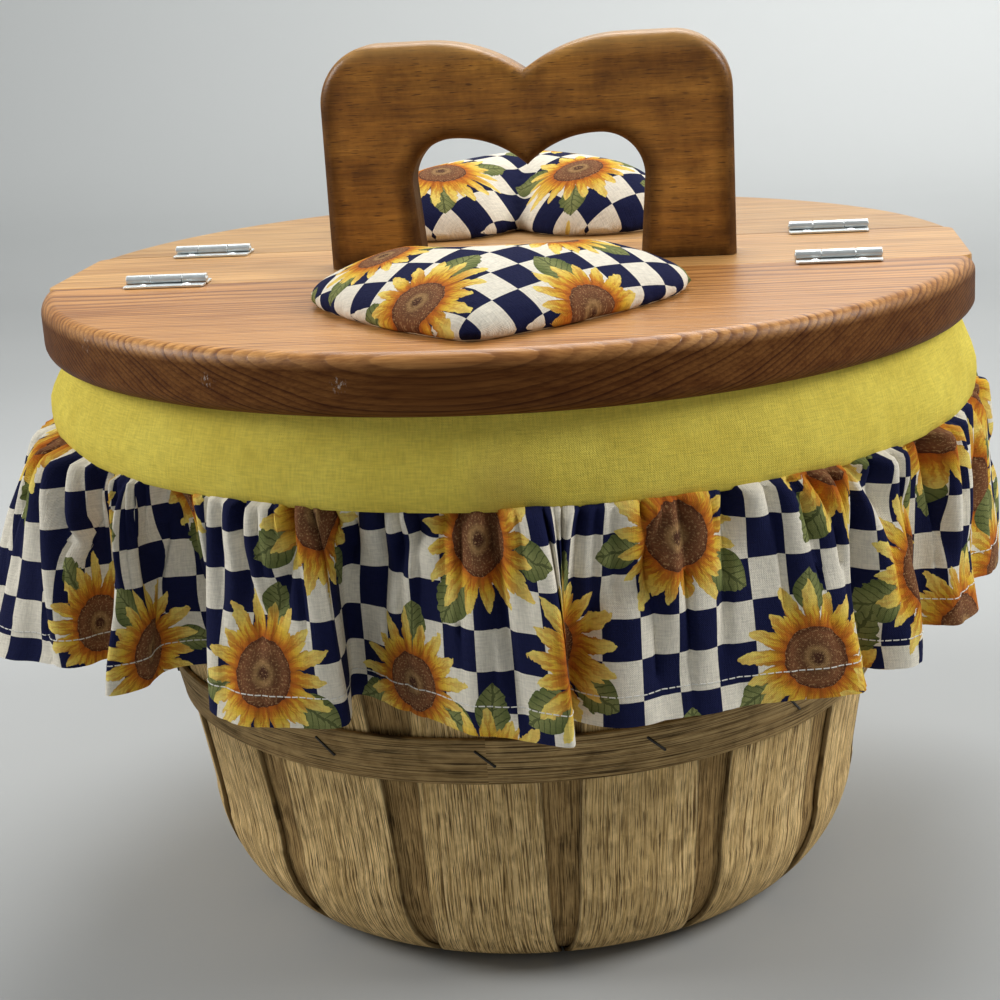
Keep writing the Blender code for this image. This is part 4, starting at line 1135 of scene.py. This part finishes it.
def build_boards(looks):
    """Both lid flaps and the strip between them."""
    straight = SEAM_Y + SEAM_GAP / 2
    corner = math.asin(straight / LID_RADIUS)
    for flap, side, rides, look, slot in (("front", -1, FRONT_LID, "front_board", "front_lid_pine"),
                                          ("back", 1, BACK_LID, "back_board", "lid_pine")):
        outline = arc(0, 0, LID_RADIUS, corner, math.pi - corner, LID_ARC_STEPS)
        body = extruded([(x, side * y) for x, y in outline], LID_UNDERSIDE, LID_TOP)
        curved = []
        for edge in body.edges:
            reach = (edge.verts[0].co + edge.verts[1].co).to_2d().length / 2
            if is_level(edge) and reach > straight + LID_ROUNDING:
                curved.append(edge)
        round_edges(body, curved, LID_ROUNDING, LID_ROUNDING_STEPS)
        seam = []
        for edge in body.edges:
            on_seam = all(abs(abs(vertex.co.y) - straight) < 0.01 * MM for vertex in edge.verts)
            if on_seam and edge.calc_length() > STRIP_WIDTH:
                seam.append(edge)
        round_edges(body, seam, LID_ARRIS, 2)
        even_shading(add_piece(flap + "_lid_board", body, looks[look], rides, [flap + "_lid_flap"]))
    x, y = STRIP_HALF_LENGTH, SEAM_Y - SEAM_GAP / 2
    outline = [(-x, -y), (x, -y), (x, y), (-x, y)]
    body = extruded(outline, LID_UNDERSIDE, LID_TOP)
    round_edges(body, [edge for edge in body.edges if not is_level(edge)], LID_ROUNDING, LID_ROUNDING_STEPS)
    round_edges(body, [edge for edge in body.edges if is_level(edge)], LID_ARRIS, 2)
    even_shading(add_piece("centre_strip_board", body, looks["board"], BASKET, ["centre_strip"]))


def half_arch(width, height, foot, corner_radius, lobe_reach, cleft_depth):
    """Left half of a heart-topped arch, from its foot over its corner down to the cleft.

    foot is the width where it stands. The lobe is level where it leaves the top.
    """
    corner = arc(corner_radius - width / 2, height - corner_radius, corner_radius, math.pi, math.pi / 2,
                 ARC_STEPS)
    angle = 2 * math.atan(cleft_depth / lobe_reach)
    radius = lobe_reach / math.sin(angle)
    lobe = arc(-lobe_reach, height - radius, radius, math.pi / 2, math.pi / 2 - angle, ARC_STEPS)
    return [(-foot / 2, 0)] + corner + lobe


def build_handle(looks):
    """The arch, sawn from one board and rounded over."""
    outer = half_arch(HANDLE_WIDTH, HANDLE_HEIGHT, HANDLE_WIDTH, SHOULDER_RADIUS, LOBE_REACH, CLEFT_DEPTH)
    inner = half_arch(OPENING_WIDTH, OPENING_HEIGHT, OPENING_FOOT_WIDTH, OPENING_CORNER_RADIUS,
                      OPENING_LOBE_REACH, OPENING_CLEFT_DEPTH)
    outline = outer + [(-x, z) for x, z in outer[-2::-1]] + [(-x, z) for x, z in inner[:-1]] + inner[::-1]
    foot = LID_TOP + GAP
    outline = [(x + HANDLE_OFFSET_X, z + foot) for x, z in outline]
    middle = HANDLE_THICKNESS / 2
    body = extruded(outline, HANDLE_OFFSET_Y - middle, HANDLE_OFFSET_Y + middle, standing=True)
    rounded = []
    for edge in body.edges:
        start, end = (vertex.co for vertex in edge.verts)
        on_face = (start.y - HANDLE_OFFSET_Y) * (end.y - HANDLE_OFFSET_Y) > 0
        if on_face and max(start.z, end.z) > foot + 0.01 * MM:
            rounded.append(edge)
    round_edges(body, rounded, HANDLE_ROUNDING, HANDLE_ROUNDING_STEPS)
    # Level and upright cuts give the border's shade enough vertices
    cuts = ((Vector((1, 0, 0)), HANDLE_OFFSET_X - HANDLE_WIDTH / 2, HANDLE_WIDTH),
            (Vector((0, 0, 1)), LID_TOP, HANDLE_HEIGHT))
    for axis, low, size in cuts:
        for step in range(1, int(size / HANDLE_CUT)):
            everything = body.verts[:] + body.edges[:] + body.faces[:]
            place = axis * (low + step * HANDLE_CUT)
            bmesh.ops.bisect_plane(body, geom=everything, plane_co=place, plane_no=axis)
    piece = add_piece("handle_arch", body, looks["handle"], BASKET, ["handle"])
    edge = [Vector((x, z, 0)) for x, z in outline]
    distances = [edge_distance(Vector((v.co.x, v.co.z, 0)), edge) for v in piece.data.vertices]
    set_border(piece, [max(0.0, 1 - distance / STAIN_WIDTH) for distance in distances])
    even_shading(piece)


def leaf_body(knuckles):
    """A hinge leaf towards -Y with rolled knuckles over the given spans, about its axis."""
    half = HINGE_LENGTH / 2
    low = -KNUCKLE_RADIUS
    near = low - GAP
    outline = [(-half, near), (half, near), (half, LEAF_CORNER - LEAF_WIDTH),
               (half - LEAF_CORNER, -LEAF_WIDTH), (LEAF_CORNER - half, -LEAF_WIDTH),
               (-half, LEAF_CORNER - LEAF_WIDTH)]
    body = extruded(outline, low, low + LEAF_THICKNESS)
    inner = KNUCKLE_RADIUS - LEAF_THICKNESS
    section = arc(0, 0, KNUCKLE_RADIUS, -math.pi / 2, ROLL_END_ANGLE, ROLL_STEPS)
    section += arc(0, 0, inner, ROLL_END_ANGLE, -math.pi / 2, ROLL_STEPS)
    section += [(near, low + LEAF_THICKNESS), (near, low)]
    for span in knuckles:
        add_prism(body, *[[(x, y, z) for y, z in section] for x in span])
    return body


def screw_body(turn):
    """The slightly domed head of a cross-slotted countersunk screw."""
    profile = [(0, -LEAF_THICKNESS), (SCREW_HEAD_RADIUS * 0.8, -LEAF_THICKNESS), (SCREW_HEAD_RADIUS, 0.0)]
    for step in range(SCREW_RINGS, -1, -1):
        share = step / SCREW_RINGS
        profile.append((SCREW_HEAD_RADIUS * 0.97 * share, SCREW_RIM + SCREW_DOME * (1 - share * share)))
    body = turned_body(profile, SCREW_STEPS)
    for vertex in body.verts:
        near, far = sorted((abs(vertex.co.x), abs(vertex.co.y)))
        if vertex.co.z > SCREW_RIM and near < SCREW_SLOT and far < SCREW_HEAD_RADIUS * 0.66:
            vertex.co.z -= SCREW_DOME * 1.2
    body.transform(Matrix.Rotation(turn, 4, 'Z'))
    return body


def add_leaf(looks, name, knuckles, place, rides, shuffle):
    """A hinge leaf in its place, with its two screws."""
    body = leaf_body(knuckles)
    body.transform(place)
    leaf = add_piece(name + "_plate", body, looks["steel"], rides, [name], 30)
    ease_edges(leaf, LEAF_ARRIS)
    screw_y = -(KNUCKLE_RADIUS + GAP + LEAF_WIDTH) / 2
    for number, x in ((1, -SCREW_SPREAD), (2, SCREW_SPREAD)):
        body = screw_body(shuffle.uniform(0, math.pi))
        body.transform(place @ Matrix.Translation((x, screw_y, LEAF_THICKNESS - KNUCKLE_RADIUS)))
        add_piece("%s_screw_%d" % (name, number), body, looks["steel"], rides, ())


def build_hinges(looks):
    """Four butt hinges: a flap leaf, a strip leaf, a pin and four screws each."""
    half = HINGE_LENGTH / 2
    middle = MIDDLE_KNUCKLE / 2
    end_knuckles = [(-half, -middle - GAP), (middle + GAP, half)]
    pin = [(0, -half - PIN_DOME), (PIN_RADIUS * 0.7, -half - PIN_DOME * 0.7), (PIN_RADIUS, -half)]
    pin += [(radius, -height) for radius, height in pin[::-1]]
    shuffle = random.Random(5)
    for flap, side, flap_body in (("front", -1, FRONT_LID), ("back", 1, BACK_LID)):
        for hand, x in (("left", -HINGE_SPREAD), ("right", HINGE_SPREAD)):
            place = Matrix.Translation((x, side * SEAM_Y, HINGE_AXIS_HEIGHT))
            turned = place @ Matrix.Rotation(math.pi, 4, 'Z')
            flap_place, strip_place = (place, turned) if side < 0 else (turned, place)
            name = "%s_%s_hinge_" % (flap, hand)
            add_leaf(looks, name + "flap_leaf", [(-middle, middle)], flap_place, flap_body, shuffle)
            add_leaf(looks, name + "strip_leaf", end_knuckles, strip_place, BASKET, shuffle)
            body = turned_body(pin, PIN_STEPS)
            body.transform(place @ Matrix.Rotation(math.pi / 2, 4, 'Y'))
            add_piece(name + "pin_rod", body, looks["steel"], BASKET, [name + "pin"])


def heart_outline(inset):
    """A heart about its middle, lobes towards +Y, from the cleft round by the right to the left.

    Each side is a long arc that runs smoothly into the lobe and into the tip.
    """
    cleft_angle = math.acos(-HEART_LOBE_X / HEART_LOBE_RADIUS)
    cleft = (0, HEART_LOBE_RISE + HEART_LOBE_RADIUS * math.sin(cleft_angle) - inset)
    lobe_middle = Vector((HEART_LOBE_X, HEART_LOBE_RISE))
    tip_middle = Vector((0, -HEART_TIP_DROP))
    span = tip_middle - lobe_middle
    from_lobe = HEART_SIDE_RADIUS - HEART_LOBE_RADIUS
    from_tip = HEART_SIDE_RADIUS - HEART_TIP_RADIUS
    along = (from_lobe ** 2 - from_tip ** 2 + span.length ** 2) / (2 * span.length)
    beside = math.sqrt(from_lobe ** 2 - along ** 2)
    side = lobe_middle + (span * along + Vector((span.y, -span.x)) * beside) / span.length
    upper = math.atan2(*(lobe_middle - side).yx)
    lower = math.atan2(*(tip_middle - side).yx)
    right = arc(*lobe_middle, HEART_LOBE_RADIUS - inset, cleft_angle, upper, HEART_LOBE_STEPS)[1:]
    right += arc(*side, HEART_SIDE_RADIUS - inset, upper, lower, HEART_SIDE_STEPS)[1:]
    tip_radius = HEART_TIP_RADIUS - min(inset, HEART_TIP_RADIUS - GAP)
    tip = arc(*tip_middle, tip_radius, lower, -math.pi - lower, HEART_TIP_STEPS)[1:-1]
    outline = [cleft] + right + tip + [(-x, y) for x, y in right[::-1]]
    return [Vector((x, y, 0)) for x, y in outline]


def edge_distance(point, outline):
    """Distance of a point in plan from a closed outline."""
    distances = []
    for start, end in zip(outline, outline[1:] + outline[:1]):
        share = intersect_point_line(point, start, end)[1]
        distances.append((start.lerp(end, min(1.0, max(0.0, share))) - point).length)
    return min(distances)


def heart_body(height, reach, dome, furrow):
    """A stuffed heart: flat below, drawn in at its foot, with a furrow that runs in from the cleft."""
    outline = heart_outline(HEART_SHRINK)
    foot = heart_outline(HEART_SHRINK + HEART_DRAW_IN)
    crown = height - HEART_FOOT - HEART_BULGE - HEART_PUFF
    cleft = outline[0].y

    def lifted(place):
        """A place in plan, raised onto the crown."""
        depth = min(1.0, edge_distance(place, outline) / reach)
        groove = furrow * math.exp(-(place.x / HEART_FURROW_WIDTH) ** 2) * max(0.0, place.y / cleft)
        slope = dome * (place.length / HEART_WIDTH * 2) ** 2
        rise = crown * (1 - (1 - depth) ** HEART_FULLNESS) ** 0.75 * (1 - groove) * (1 - slope)
        return place + Vector((0, 0, HEART_BULGE + rise))

    body = bmesh.new()
    rings = [[point * (1 - HEART_HEM / HEART_LOBE_RADIUS) for point in foot],
             [point * (1 - HEART_DRAW_IN / HEART_LOBE_RADIUS) for point in foot],
             [point + Vector((0, 0, HEART_BULGE * 0.2)) for point in foot],
             [point + Vector((0, 0, HEART_BULGE * 0.7)) for point in outline]]
    for step in range(1, HEART_RINGS):
        rings.append([lifted(point * (1 - step / HEART_RINGS)) for point in outline])
    rings.append([lifted(Vector((0, 0, 0)))])
    rings = [ring_of(body, ring) for ring in rings]
    body.faces.new(rings[0][::-1])
    for ring, other in zip(rings, rings[1:]):
        join_rings(body, ring, other)
    bmesh.ops.recalc_face_normals(body, faces=body.faces)
    return body


def apply_modifiers(piece):
    """Gives a piece the mesh that its modifiers make."""
    depsgraph = bpy.context.evaluated_depsgraph_get()
    depsgraph.update()
    mesh = bpy.data.meshes.new_from_object(piece.evaluated_get(depsgraph))
    piece.modifiers.clear()
    piece.data = mesh


def stuff(piece):
    """Fills a cushion by a short cloth simulation under pressure, with its foot held."""
    remesh = piece.modifiers.new("remesh", 'REMESH')
    remesh.mode = 'VOXEL'
    remesh.voxel_size = HEART_VOXEL
    apply_modifiers(piece)
    start = [vertex.co.copy() for vertex in piece.data.vertices]
    held = piece.vertex_groups.new(name="held")
    held.add([index for index, co in enumerate(start) if co.z < HEART_VOXEL / 2], 1.0, 'REPLACE')
    cloth = piece.modifiers.new("cloth", 'CLOTH')
    cloth.settings.use_pressure = True
    cloth.settings.uniform_pressure_force = HEART_PRESSURE
    cloth.settings.vertex_group_mass = "held"
    cloth.settings.effector_weights.gravity = 0
    cloth.settings.bending_stiffness = 0.5
    cloth.point_cache.frame_start = 1
    cloth.point_cache.frame_end = HEART_FRAMES
    for number in range(1, HEART_FRAMES + 1):
        bpy.context.scene.frame_set(number)
    apply_modifiers(piece)
    for vertex, before in zip(piece.data.vertices, start):
        move = vertex.co - before
        if move.length > HEART_CAP:
            vertex.co = before + move.normalized() * HEART_CAP
        vertex.co.z = max(0.0, vertex.co.z)
    bpy.context.scene.frame_set(1)


def lay_print(mesh, bias, shift):
    """Places the print, which follows the cloth over the crown and down the sides."""
    top = max(vertex.co.z for vertex in mesh.vertices)
    turn = Matrix.Rotation(bias, 2)
    flat = mesh.uv_layers.new(name="Flat")
    for loop in mesh.loops:
        co = mesh.vertices[loop.vertex_index].co
        reach = max(co.to_2d().length, MM)
        stretch = HEART_SPREAD_SHARE * (top - co.z) / reach * min(1.0, reach / HEART_SPREAD_REACH)
        flat.uv[loop.index].vector = turn @ (co.to_2d() * (1 + stretch)) + Vector(shift) + Vector((2.0, 2.0))


def build_pincushions(looks):
    """A stuffed heart on each flap."""
    hearts = (
        ("front", 0.0, FRONT_HEART_PLACE, FRONT_HEART_FORM, math.radians(38), (0.047, 0.034), FRONT_LID),
        ("back", math.pi, BACK_HEART_PLACE, BACK_HEART_FORM, math.radians(45), (0.052, 0.011), BACK_LID),
    )
    for flap, facing, middle, form, bias, shift, rides in hearts:
        name = flap + "_heart_cushion"
        piece = add_object(name, mesh_from(name, heart_body(*form)))
        stuff(piece)
        mesh = piece.data
        mesh.materials.append(looks["print"])
        mesh.shade_smooth()
        lay_print(mesh, bias, shift)
        smooth = piece.modifiers.new("smooth", 'SUBSURF')
        smooth.levels = 1
        smooth.render_levels = 1
        place = Matrix.Translation((*middle, LID_TOP + HEART_FOOT))
        mesh.transform(place @ Matrix.Rotation(facing, 4, 'Z'))
        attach(piece, rides)
        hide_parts(flap + "_pincushion")


def dress_cad_nodes(looks):
    """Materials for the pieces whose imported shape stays."""
    for name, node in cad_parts.items():
        if name.startswith("rim_"):
            look, slot = looks["hoop_cad"], "hoop_wood"
        elif name.startswith("strip_cleat"):
            look, slot = looks["board"], "lid_pine"
        elif name.startswith("handle_screw"):
            look, slot = looks["steel"], "zinc_steel"
        elif name == "base_disc" or name.endswith("_pincushion_board"):
            look, slot = looks["plywood"], "plywood"
        else:
            continue
        node.data.materials.clear()
        node.data.materials.append(look)


def build_stage(look):
    """A floor that sweeps up into a far wall."""
    profile = [(FLOOR_NEAR_Y, 0.0), (0.0, 0.0), (FLOOR_BEND_Y, 0.0)]
    profile += arc(FLOOR_BEND_Y, FLOOR_BEND_RADIUS, FLOOR_BEND_RADIUS, -math.pi / 2, 0, FLOOR_BEND_STEPS)[1:]
    profile.append((FLOOR_BEND_Y + FLOOR_BEND_RADIUS, WALL_HEIGHT))
    body = bmesh.new()
    sides = (-FLOOR_HALF_WIDTH, FLOOR_HALF_WIDTH)
    rows = [ring_of(body, [(x, y, z) for x in sides]) for y, z in profile]
    for here, after in zip(rows, rows[1:]):
        body.faces.new((here[0], here[1], after[1], after[0]))
    mesh = mesh_from("studio_floor", body)
    mesh.shade_smooth()
    mesh.materials.append(look)
    floor = add_object("studio_floor", mesh)


def build_lights():
    """A broad soft light overhead, windows at both sides, one light for the wall, and a pale surround."""
    basket, wall = Vector((0, 0, 0.2)), Vector((1.0, 3.3, 1.7))
    lights = (
        ("overhead", (0.05, 0.8, 1.6), basket, 1.3, 21.0),
        ("left_window", (-1.75, -0.25, 1.25), basket, 1.0, 26.0),
        ("right_window", (1.75, -0.15, 1.4), basket, 1.0, 30.0),
        ("wall_light", (0.9, 1.5, 2.2), wall, 1.2, 42.0),
    )
    for name, place, target, size, power in lights:
        light = bpy.data.lights.new(name, 'AREA')
        light.shape = 'DISK'
        light.size = size
        light.energy = power
        lamp = add_object(name, light)
        lamp.location = place
        lamp.rotation_mode = 'QUATERNION'
        lamp.rotation_quaternion = (target - lamp.location).to_track_quat('-Z', 'Y')
    world = bpy.data.worlds.new("pale_surround")
    bpy.context.scene.world = world
    world.use_nodes = True
    background = world.node_tree.nodes["Background"]
    background.inputs["Color"].default_value = (0.90, 0.92, 0.93, 1.0)
    background.inputs["Strength"].default_value = 0.27


def build_camera():
    """The photograph's view."""
    orbit = Matrix.Rotation(CAMERA_ORBIT, 3, 'Z')
    turn = Matrix.Rotation(CAMERA_TILT, 3, 'X') @ Matrix.Rotation(CAMERA_YAW, 3, 'Z')
    right, forward, up = (Matrix.Rotation(CAMERA_ROLL, 3, 'Y') @ turn @ orbit)[:]
    data = bpy.data.cameras.new("camera")
    data.sensor_width = SENSOR_WIDTH
    data.lens = LENS
    camera = add_object("camera", data)
    place = orbit.transposed() @ Vector((0, -CAMERA_DISTANCE, CAMERA_RISE)) + Vector((0, 0, LID_TOP))
    camera.matrix_world = Matrix.Translation(place) @ Matrix((right, up, -forward)).transposed().to_4x4()
    bpy.context.scene.camera = camera


def make_looks():
    """Every finish, by the name of what it covers."""
    dark_rim = (0.5, 0.42, 0.34)
    scuffs = [around(LID_RADIUS, LID_TOP - depth, math.radians(azimuth))
              for azimuth, depth in ((-47.6, 6.4 * MM), (-26.3, 12.3 * MM), (-11.0, 11.7 * MM))]
    return {
        "stave": splint_look("stave_wood", (0.94, 0.68, 0.33), (0.64, 0.43, 0.17), (0.22, 0.13, 0.046),
                             0.95, 1.0),
        "inner_stave": splint_look("inner_stave_wood", (0.52, 0.34, 0.14), (0.37, 0.23, 0.085),
                                   (0.15, 0.09, 0.032), 0.38, 0.6),
        "hoop": splint_look("hoop_wood", (0.52, 0.36, 0.16), (0.37, 0.235, 0.092), (0.13, 0.078, 0.028),
                            0.97, 1.0, 0.45),
        "hoop_cad": plywood_look("rim_hoop_wood", (0.42, 0.28, 0.13), (0.25, 0.15, 0.06)),
        "plywood": plywood_look("plywood", (0.62, 0.45, 0.26), (0.45, 0.30, 0.15)),
        "board": board_look("honey_pine", (0.31, LID_TOP - 0.06), 5.2 * MM,
                            (0.72, 0.43, 0.16), (0.40, 0.185, 0.05), 0.55, dark_rim),
        "back_board": board_look("golden_pine", (0.28, LID_TOP - 0.05), 4.6 * MM,
                                 (0.52, 0.31, 0.115), (0.33, 0.155, 0.042), 0.6, dark_rim),
        "front_board": board_look("red_pine", (-0.04, LID_TOP - 0.163), 1.9 * MM,
                                  (0.60, 0.30, 0.094), (0.19, 0.062, 0.013), 0.92,
                                  (0.27, 0.21, 0.155), scuffs),
        "handle": handle_look(),
        "yellow": cotton_look(),
        "print": print_look(),
        "steel": steel_look("zinc_steel", (0.78, 0.83, 0.83), 0.42, 0.95),
        "wire": steel_look("dark_wire", (0.07, 0.065, 0.06), 0.5, 1.0),
        "thread": thread_look(),
    }


def main():
    """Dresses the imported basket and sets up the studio."""
    looks = make_looks()
    build_staves(looks)
    build_waist_hoop(looks)
    lining, lining_drop = build_lining(looks)
    ruffle, stitches, girth = build_ruffle(looks)
    build_boards(looks)
    build_handle(looks)
    build_hinges(looks)
    build_pincushions(looks)
    dress_cad_nodes(looks)
    TAU * BAND_RADIUS * lining_drop * 0.72
    build_stage(floor_look())
    build_lights()
    build_camera()
    bpy.context.scene.view_settings.view_transform = 'Standard'


main()
bpy.context.view_layer.update()
